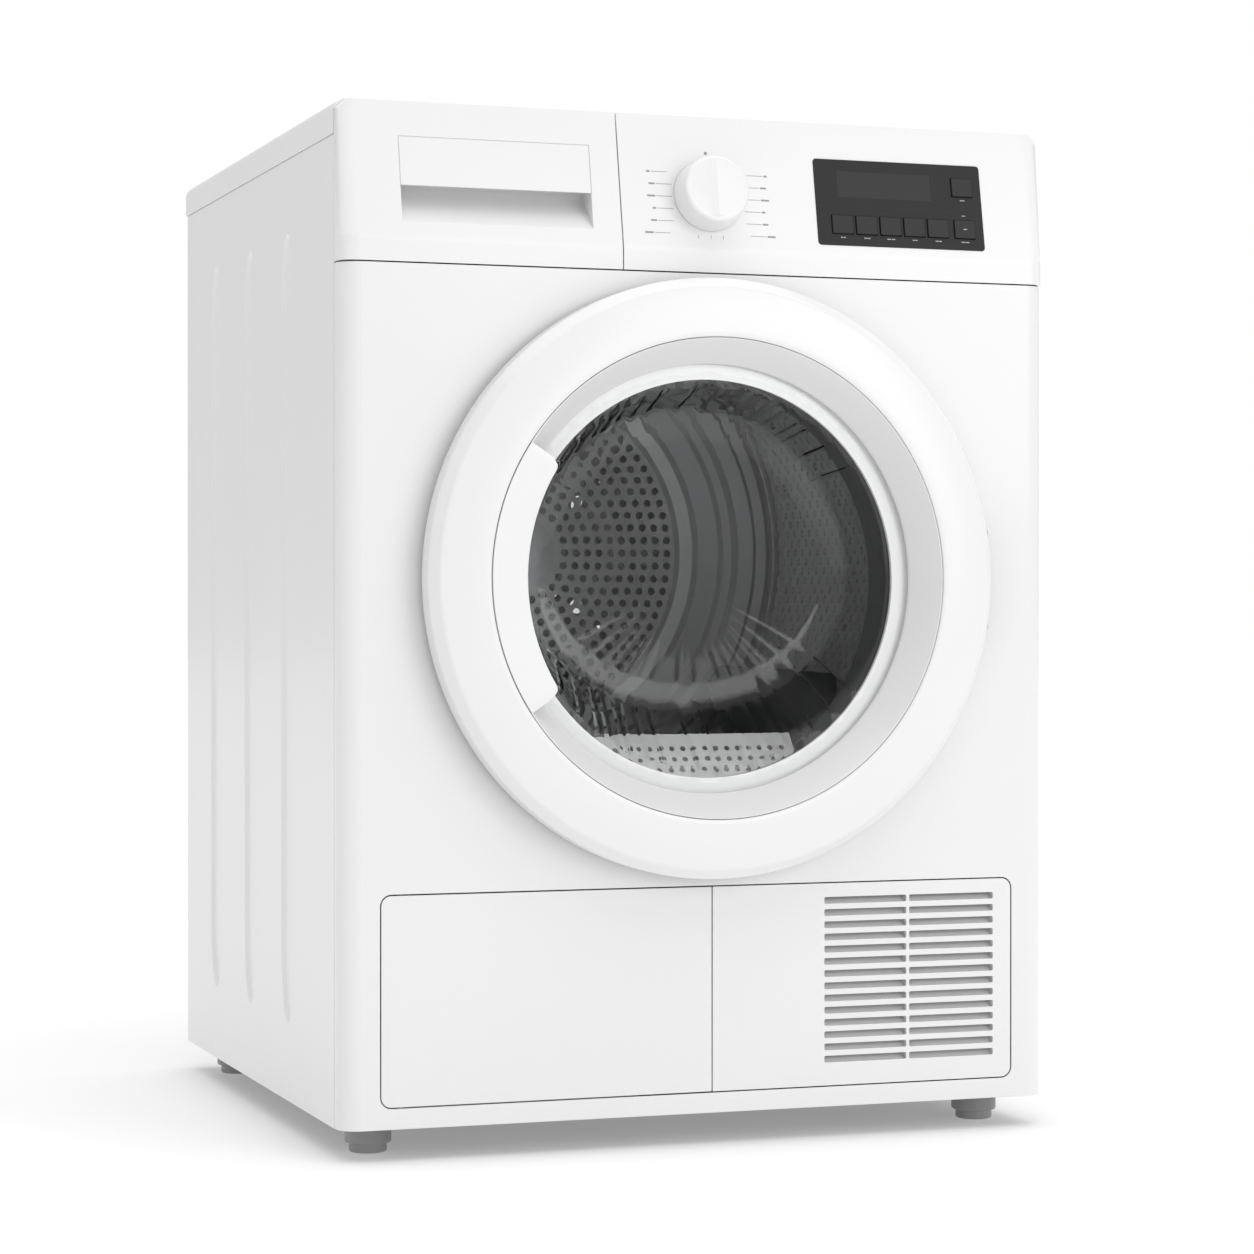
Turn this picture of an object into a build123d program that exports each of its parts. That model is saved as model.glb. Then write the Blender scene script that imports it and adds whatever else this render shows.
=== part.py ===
from build123d import *
from math import atan, cos, pi, radians, sin
import os

# Clothes dryer, millimetres. X to the right seen from the front, Y towards the back, Z up.
# The origin is at the bottom centre of the whole machine.

# Driving dimensions of the cabinet
cabinet_width = 600
cabinet_height = 820
cabinet_depth = 575
door_projection = 38
cover_projection = 13
foot_height = 25
sheet = 1.5
moulding = 2.5
front = -(cabinet_depth + cover_projection - door_projection) / 2

side_face = cabinet_width / 2 - 1
corner_depth = 21
worktop_seam = 792
fascia_seam = 693
crease = 711
lean = atan(0.19)

# Door, throat and drum
door_z = 450
door_radius = 237
glass_radius = 170
throat_radius = 167
drum_z = 480
drum_radius = 256
drum_front = 62
rear_disc = 500

# Kick plate and fascia layout
kick_half = 268
kick_low = 41
kick_high = 206
kick_seam = 5
kick_depth = 0.5
tank_seam = -70
flap_pivot = (-250, 8)

# Control panel layout, measured up the leaning face from the crease
knob_x = 4.5
knob_v = 45
knob_radius = 29.5
knob_height = 22
display_left, display_right = 97, 244.5
display_low, display_high = 8.7, 80.9
key_width = 18
key_height = 15
key_row_v = 26
key_first_x = 118.8
key_pitch = 21.1
start_key_x = 227.2
power_key_v = 61.5

# Drive train
motor_x = 165
motor_z = 118
pulley_radius = 9
belt_depth = 355
belt_width = 12
belt_thickness = 2.2
running = 0.3
idler_radius = 18
idler_run_x = 80
idler_pivot = (110, 52)

foot_places = {
    "front_left": (-262, 60), "front_right": (262, 60),
    "rear_left": (-262, 530), "rear_right": (262, 530),
}

hinge_x = 235.5
hinge_depth = 14

os.makedirs("parts", exist_ok=True)


def save(piece, name):
    """Label a finished piece and write its STEP file."""
    piece.part.label = name
    export_step(piece.part, f"parts/{name}.step")


def upright(depth):
    """A sketch plane facing forwards, this far behind the front face: x is X and y is Z."""
    return Plane.XZ.offset(-(front + depth))


def control_plane(height=0.0):
    """The leaning face of the fascia: x is X and y runs up the slope from the crease."""
    face = Plane(origin=(0, front, crease), x_dir=(1, 0, 0), z_dir=(0, -cos(lean), sin(lean)))
    return face.offset(height)


def block(x0, x1, d0, d1, z0, z1, mode=Mode.ADD):
    """A box between two x values, two depths behind the front face and two heights."""
    centre = ((x0 + x1) / 2, front + (d0 + d1) / 2, (z0 + z1) / 2)
    with Locations(centre):
        Box(abs(x1 - x0), abs(d1 - d0), abs(z1 - z0), mode=mode)


def turned(axis_x, axis_z, outline, mode=Mode.ADD):
    """Revolve an outline of (depth, radius) points about a line that runs front to back."""
    with BuildSketch(Plane.YZ.offset(axis_x)) as profile:
        with BuildLine():
            Polyline(*[(front + depth, axis_z + radius) for depth, radius in outline], close=True)
        make_face()
    revolve(profile.sketch, axis=Axis((axis_x, 0, axis_z), (0, 1, 0)), mode=mode)


def ring(axis_x, axis_z, d0, d1, r0, r1, mode=Mode.ADD):
    """A plain ring about a line that runs front to back."""
    turned(axis_x, axis_z, [(d0, r0), (d1, r0), (d1, r1), (d0, r1)], mode)


def rod(axis_x, axis_z, d0, d1, radius, mode=Mode.ADD):
    """A plain round bar that runs front to back."""
    with BuildSketch(upright(d1)) as profile:
        with Locations((axis_x, axis_z)):
            Circle(radius)
    extrude(profile.sketch, amount=d1 - d0, mode=mode)


def post(x, depth, z0, z1, radius, mode=Mode.ADD):
    """A plain round bar that stands upright."""
    with BuildSketch(Plane.XY.offset(z0)) as profile:
        with Locations((x, front + depth)):
            Circle(radius)
    extrude(profile.sketch, amount=z1 - z0, mode=mode)


# ---------------------------------------------------------------- cabinet

def make_base_tray():
    """Moulded base: floor, rim, the heat exchanger's bay, the motor's cradle and the foot bosses."""
    half = 296
    floor = foot_height + 4
    bay_top = 186
    with BuildPart() as base_tray:
        block(-half, half, 24, 570, foot_height, 60)
        block(-half + 3, half - 3, 27, 567, floor, 60, Mode.SUBTRACT)
        block(-half - 1, half + 1, 20, 28, 35, 61, Mode.SUBTRACT)
        block(-265, -47, 30, 440, floor, bay_top)
        block(-262, -50, 29, 437, floor, bay_top - 3, Mode.SUBTRACT)
        block(-92, -51, 31, 56, bay_top - 4, bay_top + 1, Mode.SUBTRACT)
        for cradle in (222, 308):
            block(motor_x - 50, motor_x + 50, cradle, cradle + 18, floor - 1, 84)
        rod(motor_x, motor_z, 215, 335, 62.2, Mode.SUBTRACT)
        pivot_x, pivot_z = idler_pivot
        block(pivot_x - 13, pivot_x + 13, belt_depth + 11.4, belt_depth + 23, floor - 1, pivot_z + 12)
        rod(pivot_x, pivot_z, belt_depth + 5, belt_depth + 30, 4.05, Mode.SUBTRACT)
        for x, depth in foot_places.values():
            post(x, depth, foot_height, 50, 12)
            post(x, depth, foot_height - 1, 51, 5.05, Mode.SUBTRACT)
    save(base_tray, "base_tray")


def rib_outline(centre, half_width, low, high, tip):
    """The outline of one pressed rib on a side panel, with a pointed arch at each end."""
    left, right = front + centre - half_width, front + centre + half_width
    middle = front + centre
    with BuildLine() as outline:
        Line((left, low + tip), (left, high - tip))
        TangentArc((left, high - tip), (middle, high), tangent=(0, 1))
        TangentArc((right, high - tip), (middle, high), tangent=(0, 1))
        Line((right, high - tip), (right, low + tip))
        TangentArc((right, low + tip), (middle, low), tangent=(0, -1))
        TangentArc((left, low + tip), (middle, low), tangent=(0, -1))
    make_face(outline.edges())


def make_side_panel(side, name):
    """Steel side: a folded sheet with three ribs pressed inwards."""
    outer = side * side_face
    inner = side * (side_face - sheet)
    rib_press = 2.5
    with BuildPart() as side_panel:
        block(inner, outer, corner_depth + 0.5, cabinet_depth, foot_height, worktop_seam)
        block(side * 283, inner, cabinet_depth - sheet, cabinet_depth, foot_height, worktop_seam)
        block(side * 288, inner, corner_depth + 0.5, corner_depth + 2, foot_height, worktop_seam)
        for centre in (175, 312, 449):
            with BuildSketch(Plane.YZ.offset(inner)):
                rib_outline(centre, 25, 85, 736, 62)
            extrude(amount=-side * rib_press)
            with BuildSketch(Plane.YZ.offset(outer)):
                rib_outline(centre, 23, 88, 733, 61)
            extrude(amount=-side * rib_press, mode=Mode.SUBTRACT)
    save(side_panel, name)


screw_places = [(x, z) for x in (-270, 270) for z in (112, 250, 420, 620, 770)]
inlet_place = (262, 75)


def rear_window(grow):
    """The outline of the rear air channel, a disc round the bearing joined to a box below it."""
    with Locations((0, drum_z)):
        Circle(205 + grow)
    with Locations((150, 220)):
        Rectangle(150 + 2 * grow, 260 + 2 * grow)


def make_back_panel():
    """Steel back sheet between the side panels' flanges, open where the rear duct cover sits."""
    face = cabinet_depth - sheet
    with BuildPart() as back_panel:
        block(-296, 296, face - sheet, face, foot_height + 3, worktop_seam - 2)
        with BuildSketch(upright(face)):
            rear_window(-5)
        extrude(amount=sheet, mode=Mode.SUBTRACT)
        with BuildSketch(upright(face)):
            with Locations((-180, 120)):
                with GridLocations(0, 14, 1, 8):
                    RectangleRounded(110, 6, 2.9)
            with Locations(inlet_place):
                RectangleRounded(32, 26, 3)
            with Locations(*screw_places):
                Circle(1.8)
        extrude(amount=sheet, mode=Mode.SUBTRACT)
    save(back_panel, "back_panel")


def make_rear_cover():
    """Pressed steel cover over the rear air channel, with a rim that lies on the back panel."""
    face = cabinet_depth - sheet
    back = cabinet_depth + cover_projection
    with BuildPart() as rear_cover:
        with BuildSketch(upright(back)):
            rear_window(0)
        extrude(amount=back - face)
        with BuildSketch(upright(face + sheet)):
            rear_window(12)
        extrude(amount=sheet)
        with BuildSketch(upright(back - sheet)):
            rear_window(-sheet)
        extrude(amount=back - sheet - face, mode=Mode.SUBTRACT)
        for spoke in range(6):
            angle = radians(60 * spoke + 30)
            for radius in (70, 100, 130):
                rod(radius * cos(angle), drum_z + radius * sin(angle), back - 3, back + 1, 7, Mode.SUBTRACT)
    save(rear_cover, "rear_cover")


def make_worktop():
    """Worktop board, rounded along both sides and across the back."""
    with BuildPart() as worktop:
        block(-300, 300, corner_depth + 0.5, 578, worktop_seam + 0.5, cabinet_height)
        top = worktop.faces().sort_by(Axis.Z)[-1]
        sides = top.edges().filter_by(Axis.Y)
        fillet(sides, radius=11)
        back_edge = worktop.edges().filter_by(Axis.X).group_by(Axis.Z)[-1].sort_by(Axis.Y)[-1]
        fillet(back_edge, radius=6)
        block(-280, 280, 45, 560, worktop_seam, worktop_seam + 13, Mode.SUBTRACT)
    save(worktop, "worktop")


def make_front_panel():
    """Steel front: round vertical corners, the door hole, the kick opening and the catch slot."""
    corner = 17
    middle = front + corner_depth / 2
    with BuildPart() as front_panel:
        with BuildSketch(Plane.XY.offset(foot_height)) as plan:
            with Locations((0, middle)):
                Rectangle(2 * side_face, corner_depth)
            fillet(plan.vertices().group_by(Axis.Y)[0], radius=corner)
            with Locations((0, front + sheet + 40)):
                RectangleRounded(2 * (side_face - sheet), 80, corner - sheet, mode=Mode.SUBTRACT)
            for side in (-1, 1):
                with Locations((side * 292, front + corner_depth - sheet / 2)):
                    Rectangle(13, sheet)
        extrude(amount=fascia_seam - 0.5 - foot_height)
        with BuildSketch(upright(sheet)):
            with Locations((0, door_z)):
                Circle(throat_radius + 5)
            with Locations((0, (kick_low + kick_high) / 2)):
                RectangleRounded(2 * kick_half, kick_high - kick_low, 9)
            with Locations((-205, door_z)):
                Rectangle(16, 18)
        extrude(amount=sheet + 1, mode=Mode.SUBTRACT)
        for low in (kick_low - 4, kick_high + 0.5):
            block(flap_pivot[0] - 6, flap_pivot[0] + 6, sheet, 12, low, low + 3.5)
            post(*flap_pivot, low - 1, low + 5, 2.05, Mode.SUBTRACT)
    save(front_panel, "front_panel")


def make_kick_grille():
    """Fixed right half of the kick plate, with louvred air slots either side of a mullion."""
    left, right = kick_seam + 0.5, kick_half - 1
    low, high = kick_low + 1, kick_high - 1
    grille_left, grille_right, mullion = 101.6, 251.4, 175
    slots, slot_height, bottom, pitch = 14, 5.4, 60.5, 9.85
    with BuildPart() as kick_grille:
        with BuildSketch(upright(kick_depth + moulding)) as face:
            with Locations(((left + right) / 2, (low + high) / 2)):
                Rectangle(right - left, high - low)
            fillet(face.vertices().group_by(Axis.X)[-1], radius=8)
            for x0, x1 in ((grille_left, mullion - 1.2), (mullion + 1.2, grille_right)):
                for step in range(slots):
                    with Locations(((x0 + x1) / 2, bottom + slot_height / 2 + step * pitch)):
                        Rectangle(x1 - x0, slot_height, mode=Mode.SUBTRACT)
        extrude(amount=moulding)
        for step in range(slots):
            base = bottom + step * pitch
            with BuildSketch(Plane.YZ.offset(grille_left)):
                with BuildLine():
                    Polyline(
                        (front + 2.8, base + slot_height - 0.3), (front + 12, base - 3),
                        (front + 12, base - 1.5), (front + 2.8, base + slot_height + 1.2),
                        close=True,
                    )
                make_face()
            extrude(amount=grille_right - grille_left)
        for x in (grille_left - 1, mullion, grille_right + 1):
            block(x - 1, x + 1, 2, 12, bottom - 3, bottom + slots * pitch)
        block(left + 4, left + 8, 2.5, 20, low + 4, high - 4)
        block(left, right - 12, 2.5, 8, low + 2, low + 5)
        block(left, right - 12, 2.5, 8, high - 5, high - 2)
    save(kick_grille, "kick_grille")


def make_service_flap():
    """Left half of the kick plate: a flap on two upright pins near its left edge."""
    low, high = kick_low + 1, kick_high - 1
    pivot_x, pivot_depth = flap_pivot
    with BuildPart() as service_flap:
        with BuildSketch(upright(kick_depth + moulding)) as face:
            left, right = -kick_half + 1, kick_seam - 0.5
            with Locations(((left + right) / 2, (low + high) / 2)):
                Rectangle(right - left, high - low)
            fillet(face.vertices().group_by(Axis.X)[0], radius=8)
        extrude(amount=moulding)
        for base in (kick_low + 2, kick_high - 8):
            block(pivot_x - 4, pivot_x + 4, 2, 11, base, base + 6)
        post(pivot_x, pivot_depth, kick_low - 4, kick_low + 3, 2)
        post(pivot_x, pivot_depth, kick_high - 3, kick_high + 4, 2)
        block(-225, -20, 2, 5, low + 8, low + 10)
        block(-225, -20, 2, 5, high - 10, high - 8)
        block(-12, -9, 2, 14, 112, 134)
    save(service_flap, "service_flap")


def make_foot(name, x, depth):
    """Levelling foot: a pad, a wide collar and a threaded stem that turns in the base."""
    with BuildPart() as foot:
        post(x, depth, 0, 8, 15)
        post(x, depth, 7, foot_height - 1, 18.5)
        chamfer(foot.edges().filter_by(GeomType.CIRCLE).group_by(Axis.Z)[0], length=1.5)
        chamfer(foot.edges().filter_by(GeomType.CIRCLE).group_by(Axis.Z)[-1], length=1)
        post(x, depth, foot_height - 2, 48, 5)
    save(foot, f"foot_{name}")


# ---------------------------------------------------------------- fascia, tank and controls

def fascia_section(face, side, corner, back):
    """Closed outline of the fascia in plan: two blunt front corners and a straight back."""
    near = front + face
    far = front + back
    squash = min(corner, back - face - 1)
    return [
        (-side, far), (-side, near + squash), (-side + 0.3 * corner, near + 0.3 * squash),
        (-side + corner, near), (side - corner, near), (side - 0.3 * corner, near + 0.3 * squash),
        (side, near + squash), (side, far),
    ]


def fascia_body(inset, top):
    """The fascia's whole form, shrunk by an inset: an upright band, then a leaning face."""
    band, shoulder = crease, cabinet_height - 8
    lean_at_shoulder = (shoulder - crease) * 0.19
    levels = [
        (fascia_seam - (1 if inset else 0), inset, side_face - inset, 15),
        (band, inset, side_face - inset, 15),
        (shoulder, lean_at_shoulder + inset, side_face - inset, 13),
        (top, lean_at_shoulder + 1.6 + inset, side_face - 9 - inset, 9),
    ]
    back = corner_depth + (4 if inset else 0)
    sections = []
    for height, face, side, corner in levels:
        with BuildSketch(Plane.XY.offset(height)) as section:
            with BuildLine():
                Polyline(*fascia_section(face, side, corner, back), close=True)
            make_face()
        sections.append(section.sketch)
    loft(sections, ruled=True, mode=Mode.SUBTRACT if inset else Mode.ADD)


def make_tank_front():
    """Front of the water tank: the fascia's left end, with a grip plate over a finger recess."""
    grip_left, grip_right = -249.5, -94
    with BuildPart() as tank_front:
        fascia_body(0, cabinet_height)
        fascia_body(moulding, cabinet_height - moulding)
        with BuildSketch(Plane.YZ.offset(grip_left - 3)):
            with BuildLine():
                Polyline(
                    (front + 2.4, 721), (front + 33, 721), (front + 33, 790), (front + 15.5, 790), close=True
                )
            make_face()
        extrude(amount=grip_right - grip_left + 6)
        with BuildSketch(Plane.YZ.offset(grip_left)):
            with BuildLine():
                Polyline(
                    (front - 5, 724), (front + 2.5, 724), (front + 26, 745), (front + 30.5, 756),
                    (front + 30.5, 786), (front + 18.8, 786), (front + 12.2, 753.5), (front - 5, 753.5),
                    close=True,
                )
            make_face()
        extrude(amount=grip_right - grip_left, mode=Mode.SUBTRACT)
        block(tank_seam - 0.5, 400, -5, 60, 600, 900, Mode.SUBTRACT)
        block(-400, 0, -5, 60, 600, fascia_seam + 0.5, Mode.SUBTRACT)
    save(tank_front, "tank_front")


tank_outline = [(-287, 711), (-172, 711), (-172, 759), (-76, 759), (-76, 787), (-287, 787)]
tank_cavity = [(-285, 713), (-174, 713), (-174, 761), (-78, 761), (-78, 785), (-285, 785)]


def make_water_tank():
    """Condensate tank: a long stepped box that clears the drum, with a fill port on top."""
    with BuildPart() as water_tank:
        with BuildSketch(upright(436)):
            with BuildLine():
                Polyline(*tank_outline, close=True)
            make_face()
        extrude(amount=436 - 33)
        with BuildSketch(upright(434)):
            with BuildLine():
                Polyline(*tank_cavity, close=True)
            make_face()
        extrude(amount=434 - 35, mode=Mode.SUBTRACT)
        block(-262, -202, 350, 410, 784, 788, Mode.SUBTRACT)
    save(water_tank, "water_tank")


def make_tank_guide():
    """Guide that carries the tank: stepped floor, side walls and a back stop."""
    with BuildPart() as tank_guide:
        block(-291, -169, 40, 442, 706, 708)
        block(-171, -169, 40, 442, 706, 757)
        block(-171, -72, 40, 442, 755, 757)
        block(-74, -72, 40, 442, 755, 789)
        block(-291, -289, 40, 442, 706, 789)
        block(-291, -169, 440, 442, 706, 780)
    save(tank_guide, "tank_guide")


def make_control_fascia():
    """Right part of the fascia, which carries the knob and the display panel."""
    with BuildPart() as control_fascia:
        fascia_body(0, cabinet_height)
        fascia_body(moulding, cabinet_height - moulding)
        block(-400, tank_seam + 0.5, -5, 60, 600, 900, Mode.SUBTRACT)
        block(-400, 400, -5, 60, 600, fascia_seam + 0.5, Mode.SUBTRACT)
        with BuildSketch(control_plane(5)):
            with Locations((knob_x, knob_v)):
                Circle(6)
            with Locations(((display_left + display_right) / 2, (display_low + display_high) / 2)):
                RectangleRounded(display_right - display_left + 0.3, display_high - display_low + 0.3, 3)
        extrude(amount=-12, mode=Mode.SUBTRACT)
        for x in (tank_seam + 3, 60, 270):
            block(x - 1.2, x + 1.2, 16.5, 34, fascia_seam + 1, 790)
        block(tank_seam + 2, 271, 30, 34, fascia_seam + 1, fascia_seam + 6)
    save(control_fascia, "control_fascia")


key_places = [(f"option_key_{count + 1}", key_first_x + count * key_pitch, key_row_v) for count in range(5)]
key_places.append(("start_key", start_key_x, key_row_v))
key_places.append(("power_key", start_key_x, power_key_v))


def make_display_panel():
    """Dark display panel that fills its window in the fascia, with a hole for each key."""
    with BuildPart() as display_panel:
        with BuildSketch(control_plane(-2.4)):
            with Locations(((display_left + display_right) / 2, (display_low + display_high) / 2)):
                RectangleRounded(display_right - display_left, display_high - display_low, 2.8)
        extrude(amount=3.0)
        with BuildSketch(control_plane(2)):
            for _, x, v in key_places:
                with Locations((x, v)):
                    Rectangle(key_width + 0.8, key_height + 0.8)
        extrude(amount=-6, mode=Mode.SUBTRACT)
    save(display_panel, "display_panel")


def make_keys():
    """Seven push keys, each a cap proud of the panel with a stem behind it."""
    for name, x, v in key_places:
        with BuildPart() as key:
            with BuildSketch(control_plane(-3)):
                with Locations((x, v)):
                    RectangleRounded(key_width, key_height, 1)
            extrude(amount=5)
            with BuildSketch(control_plane(-9)):
                with Locations((x, v)):
                    Circle(2.5)
            extrude(amount=6)
            chamfer(key.faces().sort_by(Axis.Y)[0].edges(), length=0.5)
        save(key, name)


def make_control_board():
    """Circuit board behind the fascia, with its relays, a transformer, a capacitor and plugs."""
    with BuildPart() as control_board:
        block(75, 262, 42, 43.6, 704, 786)
        block(85, 115, 43.6, 62, 712, 736)
        for x in (130, 156, 182):
            block(x, x + 20, 43.6, 58, 712, 728)
        rod(226, 730, 43.6, 66, 11)
        for x in (90, 130, 170, 210):
            block(x, x + 28, 43.6, 54, 768, 780)
        block(238, 256, 43.6, 56, 752, 762)
    save(control_board, "control_board")


def make_program_knob():
    """Program knob: a tapered skirt, a domed face with a pointer ridge, and its shaft."""
    with BuildPart() as program_knob:
        with BuildSketch(control_plane(0.8)):
            with Locations((knob_x, knob_v)):
                Circle(knob_radius)
        with BuildSketch(control_plane(knob_height - 2)):
            with Locations((knob_x, knob_v)):
                Circle(knob_radius - 3)
        loft()
        with BuildSketch(control_plane(knob_height - 2)):
            with Locations((knob_x, knob_v)):
                Circle(knob_radius - 3)
        extrude(amount=2, taper=45)
        with BuildSketch(control_plane(knob_height)):
            with Locations((knob_x, knob_v + 16)):
                Rectangle(2, 8)
        extrude(amount=0.6)
        with BuildSketch(control_plane(1)):
            with Locations((knob_x, knob_v)):
                Circle(5.95)
        extrude(amount=-14)
    save(program_knob, "program_knob")


# ---------------------------------------------------------------- door

def make_door_ring():
    """Outer door ring: a hollow moulding with a rounded bevel and a notch for the hinge."""
    outer = door_radius
    with BuildPart() as door_ring:
        turned(0, door_z, [
            (-2, outer), (-24, outer), (-29, outer - 1.2), (-33, outer - 4), (-36, outer - 9),
            (-37.4, outer - 24), (-38, outer - 34), (-37.2, 189.5), (-33, 189.5), (-34.4, outer - 34),
            (-34, outer - 24), (-32.6, outer - 11), (-29.5, outer - 6.5), (-24, outer - 3.5), (-2, outer - 3.5),
        ])
        block(hinge_x - 9, 245, -24, -1, door_z - 44, door_z + 44, Mode.SUBTRACT)
    save(door_ring, "door_ring")


def make_door_bezel():
    """Sloped bezel between the ring's front and the glass, cut away under the handle insert."""
    with BuildPart() as door_bezel:
        turned(0, door_z, [
            (-36.6, 189), (-12, glass_radius), (-10, glass_radius), (-10, 176), (-16, 176), (-33.5, 189),
        ])
    save(door_bezel, "door_bezel")


def make_door_handle():
    """Handle insert at the door's left: a curved plate that spans the bezel and overhangs the glass."""
    half_angle = 33.5
    with BuildPart() as door_handle:
        turned(0, door_z, [
            (-38, 188.8), (-35.5, 160), (-31.5, 160), (-31.5, 163.5), (-35.2, 186), (-36.8, 188.8),
        ])
        with BuildSketch(upright(0)) as sector:
            with BuildLine():
                ends = [(300 * cos(radians(180 + turn)), door_z + 300 * sin(radians(180 + turn)))
                        for turn in (-half_angle, half_angle)]
                Polyline((0, door_z), ends[0], (-400, door_z), ends[1], (0, door_z))
            make_face()
        extrude(amount=60, mode=Mode.INTERSECT)
    save(door_handle, "door_handle")


def bowl_section(radius, floor, depth):
    """One cross-section of the glass bowl: a circle with its bottom cut flat."""
    with BuildSketch(upright(depth)) as section:
        with Locations((0, door_z)):
            Circle(radius)
        with Locations((0, door_z - floor - 100)):
            Rectangle(400, 200, mode=Mode.SUBTRACT)
    return section.sketch


def make_door_glass():
    """Glass bowl: a flat rim clamped in the door and a dish that reaches into the throat."""
    with BuildPart() as door_glass:
        loft([bowl_section(156, 152, -7), bowl_section(143, 105, 50)])
        loft([bowl_section(152, 148, -7), bowl_section(139, 101, 46)], mode=Mode.SUBTRACT)
        with BuildSketch(upright(-6)):
            with Locations((0, door_z)):
                Circle(174)
        extrude(amount=4)
        extrude(bowl_section(152, 148, -5), amount=6, mode=Mode.SUBTRACT)
    save(door_glass, "door_glass")


def make_door_inner_frame():
    """Inner door frame: closes the ring from behind and clamps the glass, with the strike hook."""
    with BuildPart() as door_inner_frame:
        ring(0, door_z, -5.5, -2, 158, 233)
        ring(0, door_z, -12, -5, 176.5, 180)
        ring(0, door_z, -20, -5, 226, 229)
        block(222, 245, -30, -1, door_z - 44, door_z + 44, Mode.SUBTRACT)
        block(-208, -203, -4, 15, door_z - 6, door_z + 6)
        block(-208, -199, 11, 15, door_z - 6, door_z + 6)
    save(door_inner_frame, "door_inner_frame")


def make_door_gasket():
    """Rubber seal round the bowl that closes against the throat."""
    with BuildPart() as door_gasket:
        ring(0, door_z, -2, 2, 158, 165.5)
        turned(0, door_z, [(1, 158.5), (8, 161), (8, 164), (1, 165.5)])
    save(door_gasket, "door_gasket")


def make_hinge():
    """Door hinge: a bracket with two knuckles and its pin on the cabinet, a leaf on the door."""
    knuckle = 4
    with BuildPart() as hinge_bracket:
        block(205, 242, -1.5, 0, door_z - 41, door_z + 41)
        for side in (-1, 1):
            inner, outer = door_z + side * 16.4, door_z + side * 40
            block(hinge_x - 2, hinge_x + 2, -hinge_depth, -1, inner, outer)
            post(hinge_x, -hinge_depth, min(inner, outer), max(inner, outer), knuckle)
        post(hinge_x, -hinge_depth, door_z - 43, door_z + 43, 2)
    save(hinge_bracket, "hinge_bracket")
    with BuildPart() as hinge_leaf:
        block(196, hinge_x - 2, -8, -6, door_z - 15.8, door_z + 15.8)
        block(hinge_x - 4, hinge_x, -hinge_depth, -6, door_z - 15.8, door_z + 15.8)
        post(hinge_x, -hinge_depth, door_z - 15.8, door_z + 15.8, knuckle)
        post(hinge_x, -hinge_depth, door_z - 17, door_z + 17, 2.05, Mode.SUBTRACT)
    save(hinge_leaf, "hinge_leaf")


def make_door_catch():
    """Catch behind the front panel that holds the strike hook."""
    with BuildPart() as door_catch:
        block(-217, -192, sheet, 19, door_z - 12, door_z + 12)
        block(-214, -195, sheet, 17, door_z - 9, door_z + 9, Mode.SUBTRACT)
    save(door_catch, "door_catch")


# ---------------------------------------------------------------- drum and air path

def make_front_bulkhead():
    """Front bulkhead: a plate with the loading throat, the drum's flange and the filter duct."""
    with BuildPart() as front_bulkhead:
        block(-285, 285, 20, 23, 208, 688)
        ring(0, door_z, sheet, 4, throat_radius, 186)
        ring(0, drum_z, 20, 60, 205, 208.5)
        with BuildSketch(upright(60)):
            with Locations((0, drum_z)):
                Circle(208.5)
        extrude(amount=3)
        rod(0, door_z, 3, 60, throat_radius + 3.5)
        rod(0, door_z, 0, 61, throat_radius, Mode.SUBTRACT)
        block(-95, 95, 24, 57, 190, 305)
        rod(0, door_z, 0, 61, throat_radius, Mode.SUBTRACT)
        block(-92.5, 92.5, 26.5, 54.5, 189, 300, Mode.SUBTRACT)
        ring(0, drum_z, 60, 76, 202, 208.5)
    save(front_bulkhead, "front_bulkhead")


def make_lint_filter():
    """Lint filter: a perforated plate across the throat's floor over a flat pouch in its duct."""
    with BuildPart() as lint_filter:
        with BuildSketch(Plane.YZ.offset(-91)):
            with BuildLine():
                Polyline(
                    (front + 22, 276), (front + 54, 320), (front + 54, 324.5), (front + 50.5, 324.5),
                    (front + 18.5, 280.5), (front + 18.5, 276), close=True,
                )
            make_face()
        extrude(amount=182)
        with BuildSketch(upright(60)):
            with Locations((0, door_z)):
                Circle(throat_radius - 0.4)
        extrude(amount=60, mode=Mode.INTERSECT)
        slope = Plane(origin=(0, front + 36, 301), x_dir=(1, 0, 0), z_dir=(0, -0.809, 0.588))
        with BuildSketch(slope.offset(12)):
            for row, count in ((-16.5, 15), (-6.5, 17), (3.5, 18), (13.5, 18)):
                with Locations((0, row)):
                    with GridLocations(9.5, 0, count, 1):
                        Circle(2.3)
        extrude(amount=-24, mode=Mode.SUBTRACT)
        block(-88, 88, 35, 45, 196, 296)
        for low in (205, 235, 265):
            for left in (-84, -41, 2, 45):
                block(left, left + 39, 30, 50, low, low + 26, Mode.SUBTRACT)
    save(lint_filter, "lint_filter")


def make_felts():
    """Felt seals that the drum's two ends run against."""
    with BuildPart() as front_felt:
        ring(0, drum_z, 61, 76, 208.5, 211.9)
    save(front_felt, "front_felt")
    with BuildPart() as rear_felt:
        ring(0, drum_z, rear_disc - 15, rear_disc + 5, 234, 242)
    save(rear_felt, "rear_felt")


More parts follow.
